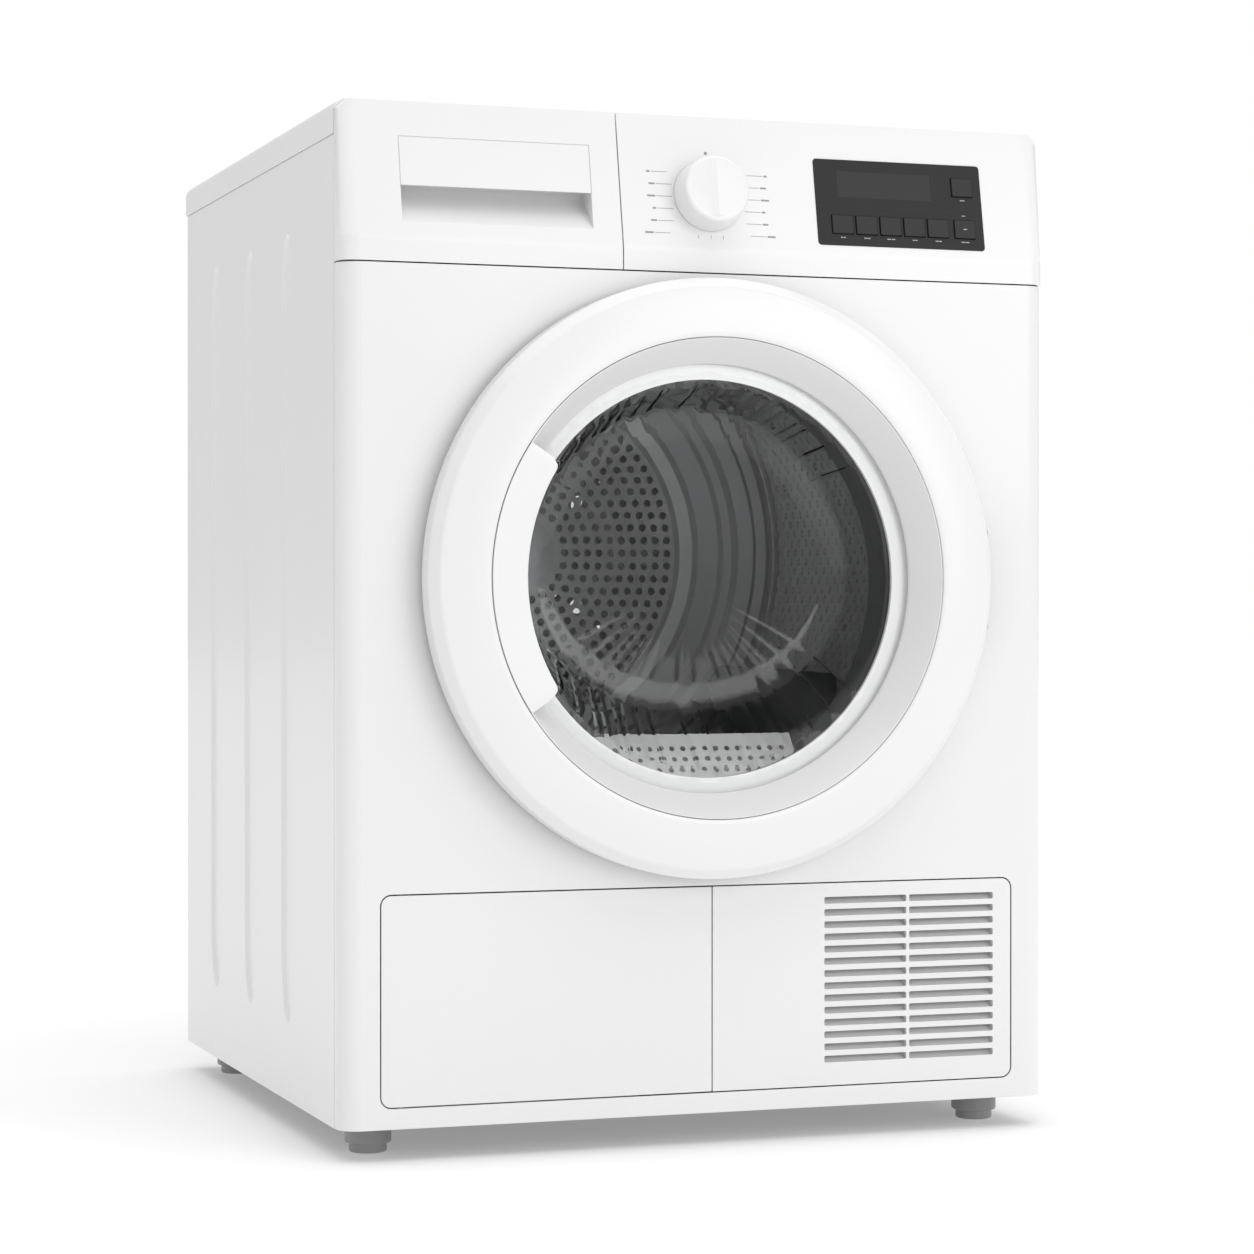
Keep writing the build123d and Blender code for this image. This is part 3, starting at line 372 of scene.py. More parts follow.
# ---------------------------------------------------------------- back panel, duct cover and screws
# The back is plain galvanised sheet with its spangle left showing, screwed to the sides'
# flanges. A pressed cover of the same sheet closes the air duct, and the inlet snaps in.
def galvanised(name):
    """Zinc-coated sheet: small crystals of slightly different tone and gloss."""
    material = surface(name, (0.52, 0.53, 0.54), 0.38, 0.0015, 0.000015, mottle=0.05, metallic=0.85)
    nodes, links = material.node_tree.nodes, material.node_tree.links
    shader = nodes["Principled BSDF"]
    place = next(node for node in nodes if node.type == "TEX_COORD")
    crystal = nodes.new("ShaderNodeTexVoronoi")
    crystal.inputs["Scale"].default_value = 85
    links.new(place.outputs["Object"], crystal.inputs["Vector"])
    tone = nodes.new("ShaderNodeValToRGB")
    tone.color_ramp.elements[0].color = (0.42, 0.43, 0.44, 1)
    tone.color_ramp.elements[1].color = (0.58, 0.59, 0.60, 1)
    links.new(crystal.outputs["Color"], tone.inputs["Fac"])
    links.new(tone.outputs["Color"], shader.inputs["Base Color"])
    return material


zinc = galvanised("galvanised_sheet")
dress(zinc, "back_panel", "rear_cover", "rear_bulkhead", "heater")
plated_steel = surface(
    "plated_steel", (0.55, 0.55, 0.56), 0.3, 0.0006, 0.00001, metallic=1.0, stretch=(1, 6, 1))
dress(plated_steel, "screws", "hinge_bracket", "hinge_leaf", "idler_arm", "drum_shaft")
inlet_moulding = surface("inlet_moulding", (0.02, 0.02, 0.021), 0.4, 0.0007, 0.00003)
dress(inlet_moulding, "mains_inlet")


# ---------------------------------------------------------------- worktop
# A white laminated board in a moulded frame, rounded along both sides and across the back,
# held down by screws from behind. It carries the fascia's upper edge in front.
white_plastic = surface("white_plastic", (0.80, 0.80, 0.80), 0.36, 0.0012, 0.00001, mottle=0.01)
low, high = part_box("worktop")
worktop = slab("rounded_worktop", low, high)
hollow_low, hollow_high = (-0.28, low.y + 0.0235, low.z - 0.001), (0.28, high.y - 0.018, low.z + 0.0125)
combine(worktop, slab("underside", hollow_low, hollow_high), "DIFFERENCE")
round_edges(worktop, lambda a, b: min(a.z, b.z) > high.z - 1e-5 and abs(a.y - b.y) > 0.1, 11, 8)
round_edges(worktop, lambda a, b: min(a.y, b.y) > high.y - 1e-5 and min(a.z, b.z) > high.z - 0.0005, 6, 6)
soften(worktop, 0.5, 2, 40)
finished(worktop, white_plastic, "cabinet", "white_plastic", "worktop")


# ---------------------------------------------------------------- front panel
# The front is one deep-drawn steel sheet with round vertical corners, enamelled white. It
# is pierced for the throat, for the kick plate and for the catch beside the door.
low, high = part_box("front_panel")
door_low, door_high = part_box("door_ring")
door_centre = (0.0, (door_low.z + door_high.z) / 2)
kick_left, kick_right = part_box("service_flap"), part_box("kick_grille")


def disc(name, centre, radius, y0, y1, steps=160):
    """A plain round bar from front to back, to cut a hole with."""
    bpy.ops.object.select_all(action="DESELECT")
    bpy.ops.mesh.primitive_cylinder_add(
        vertices=steps, radius=radius * millimetre, depth=y1 - y0,
        location=(centre[0], (y0 + y1) / 2, centre[1]), rotation=(pi / 2, 0, 0))
    bar = bpy.context.object
    bar.name = name
    bpy.ops.object.transform_apply(location=True, rotation=True, scale=True)
    return bar


def cut_box(piece, low, high, corner=0):
    """Cut a rectangular hole, with round corners if they are asked for."""
    hole = slab("hole", low, high)
    if corner:
        round_edges(hole, lambda a, b: abs(a.y - b.y) > 1e-4, corner, 6)
    combine(piece, hole, "DIFFERENCE")


front_panel = slab("drawn_front_panel", (low.x, low.y, low.z), (high.x, high.y, high.z))
round_edges(front_panel, lambda a, b: abs(a.z - b.z) > 0.1 and max(a.y, b.y) < low.y + 1e-4, 17, 10)
inside = slab("inside", (low.x + sheet, low.y + sheet, low.z - 0.01),
              (high.x - sheet, high.y + 0.01, high.z + 0.01))
round_edges(inside, lambda a, b: abs(a.z - b.z) > 0.1 and max(a.y, b.y) < low.y + 0.005, 15.5, 10)
combine(front_panel, inside, "DIFFERENCE")
combine(front_panel, disc("throat_hole", door_centre, 172, low.y - 0.01, low.y + 0.01), "DIFFERENCE")
before, behind = low.y - 0.01, low.y + 0.01
cut_box(front_panel, (-0.213, before, door_centre[1] - 0.009), (-0.197, behind, door_centre[1] + 0.009))
cut_box(front_panel, (kick_left[0].x - 0.001, before, 0.041), (kick_right[1].x + 0.001, behind, 0.206), 9)
soften(front_panel, 0.6, 2, 30)
finished(front_panel, white_enamel, "cabinet", "white_enamel", "front_panel")


# ---------------------------------------------------------------- kick plate
# Two plastic covers fill the opening at the foot of the front: a flap that hides the
# condenser on the left, and a fixed cover with louvred air slots on the right.
def kick_cover(name, low, high, round_side):
    """One plain cover plate with two round corners and a softly broken edge."""
    plate = slab(name, low, high)
    edge_x = low[0] if round_side < 0 else high[0]
    round_edges(plate, lambda a, b: abs(a.y - b.y) > 1e-4 and abs(a.x - edge_x) < 1e-4, 8, 6)
    return plate


low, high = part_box("kick_grille")
plate_low = (low.x, low.y, 0.042)
plate_high = (high.x, low.y + 0.0025, 0.205)
grille = kick_cover("louvred_kick_cover", plate_low, plate_high, 1)
slots, slot_height, lowest_slot, slot_pitch = 14, 0.0054, 0.0605, 0.00985
window_left, window_right, mullion = 0.1016, 0.2514, 0.175
for side in ((window_left, mullion - 0.0012), (mullion + 0.0012, window_right)):
    for count in range(slots):
        base = lowest_slot + count * slot_pitch
        cut_box(grille, (side[0], low.y - 0.01, base), (side[1], low.y + 0.01, base + slot_height), 1.3)
soften(grille, 0.35, 2, 30)
parts = [grille]
for count in range(slots):
    base = lowest_slot + count * slot_pitch
    blade = slab("blade", (window_left, low.y + 0.0023, base - 0.003),
                 (window_right, low.y + 0.0115, base - 0.0015))
    choose(blade, "VERT", lambda point: point.y > low.y + 0.004)
    bpy.ops.transform.translate(value=(0, 0, slot_height + 0.0027))
    bpy.ops.object.mode_set(mode="OBJECT")
    parts.append(blade)
for x in (window_left - 0.001, mullion, window_right + 0.001):
    parts.append(slab("post", (x - 0.001, low.y + 0.0023, lowest_slot - 0.003),
                      (x + 0.001, low.y + 0.0115, lowest_slot + slots * slot_pitch)))
for base in (0.044, 0.200):
    parts.append(slab("rail", (low.x, low.y + 0.0023, base), (high.x - 0.012, low.y + 0.0075, base + 0.003)))
parts.append(slab("rail", (low.x + 0.004, low.y + 0.0023, 0.046), (low.x + 0.008, high.y, 0.201)))


def join(parts):
    """Make several meshes one piece."""
    bpy.ops.object.select_all(action="DESELECT")
    for part in parts:
        part.select_set(True)
    bpy.context.view_layer.objects.active = parts[0]
    bpy.ops.object.join()
    return parts[0]


grille = join(parts)
even_shading(grille, 35)
finished(grille, white_plastic, "cabinet", "white_plastic", "kick_grille")

low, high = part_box("service_flap")
flap = kick_cover("condenser_flap", (low.x, low.y, 0.042), (high.x, low.y + 0.0025, 0.205), -1)
soften(flap, 0.4, 2, 30)
pivot_x, pivot_y = -0.25, at_depth(8)
parts = [flap]
for base in (0.043, 0.198):
    parts.append(slab("ear", (pivot_x - 0.004, low.y + 0.0023, base),
                      (pivot_x + 0.004, pivot_y + 0.003, base + 0.006)))
for base in (0.037, 0.203):
    bpy.ops.object.select_all(action="DESELECT")
    bpy.ops.mesh.primitive_cylinder_add(
        vertices=24, radius=0.002, depth=0.007, location=(pivot_x, pivot_y, base + 0.0035))
    bpy.ops.object.transform_apply(location=True, rotation=True, scale=True)
    parts.append(bpy.context.object)
for base in (0.049, 0.195):
    parts.append(slab("stiffener", (-0.225, low.y + 0.0023, base), (-0.02, low.y + 0.005, base + 0.002)))
parts.append(slab("snap", (-0.012, low.y + 0.0023, 0.112), (-0.009, high.y, 0.134)))
flap = join(parts)
even_shading(flap, 35)
finished(flap, white_plastic, "flap", "white_plastic", "service_flap")


# ---------------------------------------------------------------- fascia: tank front and control panel
# The fascia is moulded in gloss ABS in two parts that meet at a seam: the water tank's
# front with its grip on the left, and the control panel. Its face leans back above a crease.
lean = atan(0.19)
crease, shoulder, seam = 0.711, 0.812, -0.07
fascia_low, fascia_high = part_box("control_fascia")
fascia_foot = fascia_low.z
fascia_back = front + 0.021
half_width = fascia_high.x


def fascia_form(name, inset, top):
    """The whole fascia as one solid, shrunk by an inset: a band upright to the crease, then leaning."""
    back = fascia_back + (0.004 if inset else 0)
    side = half_width - inset
    foot = fascia_foot - (0.001 if inset else 0)
    bpy.ops.object.select_all(action="DESELECT")
    bpy.ops.mesh.primitive_plane_add(size=1, location=(0, (front + inset + back) / 2, foot),
                                     scale=(2 * side, back - front - inset, 1))
    form = bpy.context.object
    form.name = name
    bpy.ops.object.transform_apply(location=True, rotation=True, scale=True)
    form.scale = (1, 1, 1)
    for point in form.data.vertices:
        point.co.x = side if point.co.x > 0 else -side
        point.co.y = front + inset if point.co.y < (front + back) / 2 else back
    choose(form, "VERT", lambda point: point.y < front + inset + 1e-4)
    bpy.ops.mesh.bevel(offset=0.0148 - inset, segments=7, profile=0.55, affect="VERTICES")
    bpy.ops.mesh.select_all(action="SELECT")
    height, depth = foot, back - front - inset
    for next_height, step_back, narrow in (
        (crease, 0, 0), (shoulder, (shoulder - crease) * 0.19, 0),
        (top, (shoulder - crease) * 0.19 + 0.0016, 0.009),
    ):
        next_depth = back - front - inset - step_back
        bpy.ops.mesh.extrude_region_move(TRANSFORM_OT_translate={"value": (0, 0, next_height - height)})
        bpy.ops.transform.resize(
            value=(1 - narrow / side, next_depth / depth, 1), center_override=(0, back, next_height))
        height, depth = next_height, next_depth
    close_up(30)
    return form


def half_of_fascia(name, left):
    """The part of the hollow fascia on one side of the seam."""
    form = fascia_form(name, 0, fascia_high.z)
    round_edges(form, lambda a, b: abs(a.z - crease) < 1e-5 and abs(b.z - crease) < 1e-5
                and max(a.y, b.y) < front + 0.0152, 2.5, 4)
    combine(form, fascia_form("hollow", 0.0025, fascia_high.z - 0.0025), "DIFFERENCE")
    gap = 0.0005
    if left:
        spare = slab("spare", (seam - gap, front - 0.01, 0.6), (0.4, front + 0.06, 0.9))
    else:
        spare = slab("spare", (-0.4, front - 0.01, 0.6), (seam + gap, front + 0.06, 0.9))
    combine(form, spare, "DIFFERENCE")
    return form


def plate_from(name, outline, x0, x1):
    """Extrude an outline of (y, z) points sideways from one x to another."""
    bpy.ops.object.select_all(action="DESELECT")
    bpy.ops.mesh.primitive_circle_add(vertices=len(outline), radius=1, fill_type="NGON")
    plate = bpy.context.object
    plate.name = name
    for point, (y, z) in zip(plate.data.vertices, outline):
        point.co = (x0, y, z)
    bpy.ops.object.mode_set(mode="EDIT")
    bpy.ops.mesh.select_all(action="SELECT")
    bpy.ops.mesh.extrude_region_move(TRANSFORM_OT_translate={"value": (x1 - x0, 0, 0)})
    close_up(30)
    return plate


def on_face(x, up, out=0.0):
    """A point on the leaning face: metres from the crease up the slope, and out from it."""
    return Vector((x, front + up * sin(lean) - out * cos(lean), crease + up * cos(lean) + out * sin(lean)))


def face_block(name, x0, x1, up0, up1, out0, out1, corner=0, segments=5):
    """A block that lies square to the leaning face."""
    middle = on_face((x0 + x1) / 2, (up0 + up1) / 2, (out0 + out1) / 2)
    bpy.ops.object.select_all(action="DESELECT")
    bpy.ops.mesh.primitive_cube_add(size=1, scale=(x1 - x0, up1 - up0, out1 - out0))
    piece = bpy.context.object
    piece.name = name
    bpy.ops.object.transform_apply(location=True, rotation=True, scale=True)
    if corner:
        round_edges(piece, lambda a, b: abs(a.z - b.z) > 1e-5, corner, segments)
    piece.location = middle
    piece.rotation_euler = (pi / 2 - lean, 0, 0)
    bpy.ops.object.transform_apply(location=True, rotation=True, scale=True)
    return piece


gloss_white = surface("gloss_white", (0.81, 0.81, 0.81), 0.24, 0.002, 0.000006, mottle=0.01)
grip_left, grip_right = -0.2495, -0.094
tank_front = half_of_fascia("tank_grip_front", True)
tub = plate_from("tub", [(at_depth(2.0), 0.721), (at_depth(33), 0.721),
                         (at_depth(33), 0.790), (at_depth(15.5), 0.790)],
                 grip_left - 0.003, grip_right + 0.003)
combine(tank_front, tub, "UNION")
recess = plate_from("recess", [
    (at_depth(-5), 0.7245), (at_depth(2.5), 0.7245), (at_depth(26), 0.745), (at_depth(30.5), 0.756),
    (at_depth(30.5), 0.786), (at_depth(18.8), 0.786), (at_depth(12.2), 0.7535), (at_depth(-5), 0.7535)],
    grip_left, grip_right)
combine(tank_front, recess, "DIFFERENCE")
groove_low, groove_high = 0.0415, 0.0825
for x0, x1, up0, up1 in (
    (grip_left - 0.0004, grip_left + 0.0004, groove_low, groove_high),
    (grip_right - 0.0004, grip_right + 0.0004, groove_low, groove_high),
    (grip_left - 0.0004, grip_right + 0.0004, groove_high - 0.0004, groove_high + 0.0004),
):
    combine(tank_front, face_block("groove", x0, x1, up0, up1, -0.0008, 0.001), "DIFFERENCE")
soften(tank_front, 0.35, 2, 38)
finished(tank_front, gloss_white, "tank", "white_plastic", "tank_front")

knob_x, knob_up, display = 0.0045, 0.045, (0.097, 0.2445, 0.0087, 0.0809)
control_fascia = half_of_fascia("control_panel_moulding", False)
combine(control_fascia, face_block("window", display[0] - 0.00015, display[1] + 0.00015, display[2] - 0.00015,
                                   display[3] + 0.00015, -0.007, 0.005, 3), "DIFFERENCE")
combine(control_fascia, face_block("shaft_hole", knob_x - 0.006, knob_x + 0.006,
                                   knob_up - 0.006, knob_up + 0.006,
                                   -0.007, 0.005, 5.9, 8), "DIFFERENCE")
soften(control_fascia, 0.35, 2, 38)
finished(control_fascia, gloss_white, "cabinet", "white_plastic", "control_fascia")


# ---------------------------------------------------------------- printed marks
# A pad-printed scale round the knob: a leader line with a short tick for each programme,
# three ticks below and a dot above. The ink stands just clear of the moulding.
grey_ink = surface("grey_ink", (0.30, 0.30, 0.30), 0.5, 0.0005, 0.000004)
marks = []
ink = 0.00012


def mark(x0, x1, up0, up1):
    """One small printed bar on the leaning face."""
    marks.append(face_block("mark", x0, x1, up0, up1, -0.0002, ink))


for count in range(6):
    up = 0.0635 - count * 0.0101
    reach = 0.0305 + (0.0035 if count in (0, 5) else 0)
    for side in (-1, 1):
        ends = sorted((knob_x + side * reach, knob_x + side * (reach + 0.0135)))
        mark(ends[0], ends[1], up, up + 0.0004)
        mark_near, mark_far = reach + 0.0145, reach + 0.0175 + 0.002 * (count % 3)
        ends = sorted((knob_x + side * mark_near, knob_x + side * mark_far))
        mark(ends[0], ends[1], up - 0.0005, up + 0.0009)
for offset in (-0.0105, 0, 0.0105):
    mark(knob_x + offset - 0.0002, knob_x + offset + 0.0002, 0.0095, 0.0125)
mark(knob_x - 0.0012, knob_x + 0.0012, 0.0795, 0.0819)
printed = join(marks)
printed.name = "printed_scale"
finished(printed, grey_ink, "cabinet", "white_plastic")


# ---------------------------------------------------------------- display panel and keys
# A dark tinted panel snaps into the fascia with a display window behind it. Seven soft-touch
# keys pass through it, each with a small generic legend mark printed below.
display_tint = surface("display_tint", (0.024, 0.024, 0.025), 0.4, 0.0008, 0.000006, mottle=0.02)
display_tint.node_tree.nodes["Principled BSDF"].inputs["Specular IOR Level"].default_value = 0.2
display_panel = face_block("display_facia", *display, -0.0024, 0.0006, 2.8)
key_width, key_height, key_clearance = 0.018, 0.015, 0.0004
keys = [(f"option_key_{count + 1}", 0.1188 + count * 0.0211, 0.026) for count in range(5)]
keys += [("start_key", 0.2272, 0.026), ("power_key", 0.2272, 0.0615)]
for _, x, up in keys:
    reach_x, reach_up = key_width / 2 + key_clearance, key_height / 2 + key_clearance
    hole = face_block("hole", x - reach_x, x + reach_x, up - reach_up, up + reach_up, -0.006, 0.003)
    combine(display_panel, hole, "DIFFERENCE")
soften(display_panel, 0.3, 2, 38)
finished(display_panel, display_tint, "cabinet", "black_gloss_plastic", "display_panel")

window_tint = surface("window_tint", (0.034, 0.034, 0.036), 0.34, 0.001, 0.000004, mottle=0.02)
window_tint.node_tree.nodes["Principled BSDF"].inputs["Specular IOR Level"].default_value = 0.2
window = face_block("display_window", 0.1167, 0.1991, 0.049, 0.071, 0.0004, 0.00068, 0.6, 3)
finished(window, window_tint, "cabinet", "black_gloss_plastic")
seam_ink = surface("seam_ink", (0.012, 0.012, 0.012), 0.5, 0.0008, 0.000004)
divider = face_block("display_divider", display[0] + 0.002, display[1] - 0.002, 0.0411, 0.0414,
                     0.0004, 0.00066)
finished(divider, seam_ink, "cabinet", "black_gloss_plastic")

key_rubber = surface("key_rubber", (0.026, 0.026, 0.027), 0.5, 0.0005, 0.00002, mottle=0.02)
key_rubber.node_tree.nodes["Principled BSDF"].inputs["Specular IOR Level"].default_value = 0.3
for name, x, up in keys:
    half_x, half_up = key_width / 2, key_height / 2
    cap = face_block(f"{name}_cap", x - half_x, x + half_x, up - half_up, up + half_up, -0.003, 0.002, 1, 3)
    soften(cap, 0.45, 3, 38)
    stem = face_block("stem", x - 0.0025, x + 0.0025, up - 0.0025, up + 0.0025, -0.009, -0.0025, 2.4, 6)
    cap = join([cap, stem])
    finished(cap, key_rubber, name, "black_keys", name)

pale_ink = surface("pale_ink", (0.42, 0.42, 0.42), 0.5, 0.0005, 0.000004)
legends = []
for number, (name, x, up) in enumerate(keys):
    width = 0.0021 + 0.0007 * (number % 3)
    below = up - key_height / 2 - 0.0036
    legends.append(face_block("legend", x - width, x - width * 0.1, below, below + 0.0008, 0.0004, 0.0007))
    legends.append(face_block("legend", x + width * 0.1, x + width, below, below + 0.0008, 0.0004, 0.0007))
legends.append(face_block("legend", 0.2256, 0.2288, 0.0374, 0.038, 0.0004, 0.0007))
legends = join(legends)
legends.name = "display_legends"
finished(legends, pale_ink, "cabinet", "black_gloss_plastic")
start_mark = face_block("start_key_mark", 0.2258, 0.2286, 0.0255, 0.0264, 0.0018, 0.00208)
finished(start_mark, pale_ink, "start_key", "black_keys")


# ---------------------------------------------------------------- programme knob
# Moulded in gloss ABS: a slightly tapered skirt and a face of two shallow facets that meet
# in a ridge. Its shaft goes through the fascia to the selector, over a thin fixed collar.
def lay_on_face(piece, x, up):
    """Turn a piece made about a front-to-back line on to the leaning face."""
    bpy.ops.object.select_all(action="DESELECT")
    bpy.context.view_layer.objects.active = piece
    piece.select_set(True)
    piece.location = (0, -front, 0)
    bpy.ops.object.transform_apply(location=True, rotation=True, scale=True)
    piece.location = on_face(x, up)
    piece.rotation_euler = (-lean, 0, 0)
    bpy.ops.object.transform_apply(location=True, rotation=True, scale=True)


knob = turned("selector_knob", [
    (13, 1e-3), (13, 5.9), (-1.6, 5.9), (-1.6, 25), (-0.8, 28.6), (-1.2, 29.3), (-2.2, 29.5), (-10, 28.6),
    (-19.4, 27.3), (-20.6, 26.8), (-21.4, 25.8), (-21.6, 24.6), (-21.6, 1e-3),
], (0, 0), steps=96, solid=True)
ridge = slab("ridge", (-0.0006, at_depth(-22.3), -0.0235), (0.0006, at_depth(-21.2), 0.0235))
choose(ridge, "VERT", lambda point: point.y < at_depth(-22))
bpy.ops.transform.resize(value=(0.3, 1, 0.97), center_override=(0, 0, 0))
choose(ridge, "VERT", lambda point: point.y > at_depth(-22))
bpy.ops.transform.resize(value=(16, 1, 1), center_override=(0, 0, 0))
bpy.ops.object.mode_set(mode="OBJECT")
combine(knob, ridge, "UNION")
even_shading(knob, 40)
lay_on_face(knob, knob_x, knob_up)
finished(knob, gloss_white, "knob", "white_gloss_plastic", "program_knob")

pointer = face_block("knob_pointer", knob_x + 0.0015, knob_x + 0.0042, knob_up + 0.0195, knob_up + 0.0222,
                     0.0214, 0.0218, 1.1, 3)
finished(pointer, grey_ink, "knob", "white_gloss_plastic")
collar = turned("knob_collar", [
    (0.5, 28), (-0.35, 28), (-0.5, 28.3), (-0.5, 30.6), (-0.3, 30.9), (0.5, 30.9),
], (0, 0), steps=96)
lay_on_face(collar, knob_x, knob_up)
finished(collar, gloss_white, "cabinet", "white_plastic")


# ---------------------------------------------------------------- door ring and bezel
# The door's outer ring is a hollow gloss moulding with a bold rounded edge, notched at the
# right for the hinge. A separate bezel slopes from its front down to the glass.
door_ring = turned("round_door_ring", [
    (-7, 236.4), (-8, 237), (-24.4, 237), (-25.4, 236.8), (-26.2, 236.2), (-32.6, 230.6), (-33.6, 229.4),
    (-34.2, 227.6), (-36.8, 213), (-37.8, 202), (-38, 194), (-37.8, 191), (-37.2, 189.9), (-36.4, 189.5),
    (-33, 189.5), (-34.2, 203),
    (-33.2, 213), (-30.6, 226), (-24, 233.5), (-7, 233.5),
], door_centre, steps=256)
hinge_x = 0.2355
notch = slab("notch", (hinge_x - 0.009, at_depth(-24), door_centre[1] - 0.044),
             (0.25, at_depth(-1), door_centre[1] + 0.044))
combine(door_ring, notch, "DIFFERENCE")
even_shading(door_ring, 34)
finished(door_ring, gloss_white, "door", "white_gloss_plastic", "door_ring")

# Painted shade: this dark strip round the inner frame, in the gap behind the ring, darkens the shadow gap
# between the door and the front panel. It is no real part of the door.
gap_shade_paint = surface("painted_gap_shade", (0.03, 0.03, 0.03), 0.9, 0.0006, 0.00005)
gap_shade_strip = turned("door_gap_shade_strip", [
    (-7.6, 233.1), (-7.6, 234.2), (-2.2, 234.2), (-2.2, 233.1),
], door_centre, steps=192)
strip_gap = slab("notch", (hinge_x - 0.010, at_depth(-24), door_centre[1] - 0.045),
                 (0.25, at_depth(-1), door_centre[1] + 0.045))
combine(gap_shade_strip, strip_gap, "DIFFERENCE")
finished(gap_shade_strip, gap_shade_paint, "door", "black_rubber")

door_bezel = turned("sloped_bezel", [
    (-36.4, 189.0), (-36.7, 188.2), (-34.6, 186.6), (-13.6, 171.2), (-12.2, 170.2), (-11, 170), (-10, 170.4),
    (-10, 176), (-16, 176), (-33.5, 189),
], door_centre, steps=256)
finished(door_bezel, gloss_white, "door", "white_gloss_plastic", "door_bezel")


# ---------------------------------------------------------------- door handle
# A curved plate pressed into the ring's left side. It bridges the bezel and overhangs the
# glass, so that fingers reach behind it, and its two inner corners are rounded.
handle_half, handle_steps = 33.5, 72
bpy.ops.object.select_all(action="DESELECT")
bpy.ops.mesh.primitive_circle_add(vertices=10, radius=0.01, fill_type="NGON")
door_handle = bpy.context.object
door_handle.name = "door_grip_plate"
handle_outline = [(-37.9, 188.9), (-38, 188.2), (-36.2, 161.2), (-35.6, 160.2), (-34.8, 160), (-32.2, 160),
                  (-31.5, 160.6), (-31.5, 163.5), (-35.2, 186), (-36.8, 188.9)]
start = radians(180 - handle_half)
for point, (depth, radius) in zip(door_handle.data.vertices, handle_outline):
    reach = radius * millimetre
    point.co = (door_centre[0] + reach * cos(start), at_depth(depth), door_centre[1] + reach * sin(start))
bpy.ops.object.mode_set(mode="EDIT")
bpy.ops.mesh.select_all(action="SELECT")
bpy.ops.mesh.spin(steps=handle_steps, dupli=False, angle=radians(2 * handle_half),
                  center=(door_centre[0], 0, door_centre[1]), axis=(0, 1, 0))
bpy.ops.mesh.select_all(action="SELECT")
bpy.ops.mesh.remove_doubles(threshold=0.00001)
bpy.ops.mesh.select_all(action="DESELECT")
bpy.ops.mesh.select_non_manifold()
bpy.ops.mesh.fill_holes(sides=20)
close_up(30)
corner = 0.0065
for point in door_handle.data.vertices:
    across, up = point.co.x - door_centre[0], point.co.z - door_centre[1]
    radius = (across ** 2 + up ** 2) ** 0.5
    to_end = radius * (radians(handle_half) - abs(atan(up / across)))
    if to_end < corner and radius < 0.1625:
        shift = corner - (corner ** 2 - (corner - max(to_end, 0)) ** 2) ** 0.5
        grow = (radius + shift) / radius
        point.co.x, point.co.z = door_centre[0] + across * grow, door_centre[1] + up * grow
even_shading(door_handle, 34)
finished(door_handle, gloss_white, "door", "white_gloss_plastic", "door_handle")


# ---------------------------------------------------------------- door glass
# One pressed bowl of clear borosilicate glass: a flat rim clamped in the door, and a deep
# dish with its underside flattened, which keeps the load off the door.
def clear_glass(name):
    """Clear pressed glass, with the slight waviness that pressing leaves."""
    material = bpy.data.materials.new(name)
    material.use_nodes = True
    nodes, links = material.node_tree.nodes, material.node_tree.links
    shader = nodes["Principled BSDF"]
    shader.inputs["Base Color"].default_value = (0.93, 0.94, 0.94, 1)
    shader.inputs["Transmission Weight"].default_value = 1.0
    shader.inputs["Roughness"].default_value = 0.0
    shader.inputs["IOR"].default_value = 1.07
    shader.inputs["Coat Weight"].default_value = 0.5
    shader.inputs["Coat Roughness"].default_value = 0.02
    place = nodes.new("ShaderNodeTexCoord")
    waves = nodes.new("ShaderNodeTexNoise")
    waves.inputs["Scale"].default_value = 34
    waves.inputs["Detail"].default_value = 1
    links.new(place.outputs["Object"], waves.inputs["Vector"])
    bump = nodes.new("ShaderNodeBump")
    bump.inputs["Distance"].default_value = 0.00001
    links.new(waves.outputs["Fac"], bump.inputs["Height"])
    links.new(bump.outputs["Normal"], shader.inputs["Normal"])
    return material


door_glass = turned("glass_bowl", [
    (46, 1e-3), (46, 112), (45, 128), (41.5, 136.5), (35, 140.6), (10, 147), (0, 150.4), (-4.4, 153),
    (-5.6, 157), (-6, 162), (-6, 173.4), (-5.4, 174), (-2.6, 174), (-2, 173.4), (-2, 158.4), (0, 155.4),
    (10, 151), (36, 144.6),
    (43.5, 140.6), (48.6, 131), (50, 114), (50, 1e-3),
], door_centre, steps=192, solid=True)
flat_start, flat_end, least = at_depth(-6), at_depth(50), 0.735
bpy.ops.object.mode_set(mode="OBJECT")
for depth in sorted({round(point.co.y, 6) for point in door_glass.data.vertices}):
    share = 1 - (1 - least) * (depth - flat_start) / (flat_end - flat_start)
    choose(door_glass, "VERT", lambda point: abs(point.y - depth) < 1e-5 and point.z < door_centre[1] - 1e-4
           and (Vector((point.x, point.z)) - Vector(door_centre)).length < 0.1565)
    bpy.ops.transform.resize(value=(1, 1, min(share, 1)), center_override=(0, depth, door_centre[1]))
bpy.ops.object.mode_set(mode="OBJECT")
door_glass.visible_shadow = False
door_glass.visible_diffuse = False
finished(door_glass, clear_glass("pressed_glass"), "door", "clear_glass", "door_glass")


# ---------------------------------------------------------------- inner door frame, seal and catch
# The inner frame screws to the ring from behind and clamps the glass. It carries a black
# rubber lip seal and the hook that the catch behind the front panel holds.
dress(gloss_white, "door_inner_frame")
soft_rubber = surface("soft_rubber", (0.018, 0.018, 0.018), 0.55, 0.0006, 0.00003)
door_seal = turned("lip_seal", [
    (-2, 158.2), (2, 158.2), (5.4, 159.2), (8, 161), (8.4, 162.4), (8, 164), (5.4, 165.2), (2, 165.5),
    (-2, 165.5),
], door_centre, steps=160)
finished(door_seal, soft_rubber, "door", "black_rubber", "door_gasket")
dress(soft_rubber, "drive_belt", "condensate_hose")
dress(grey_moulding, "door_catch")


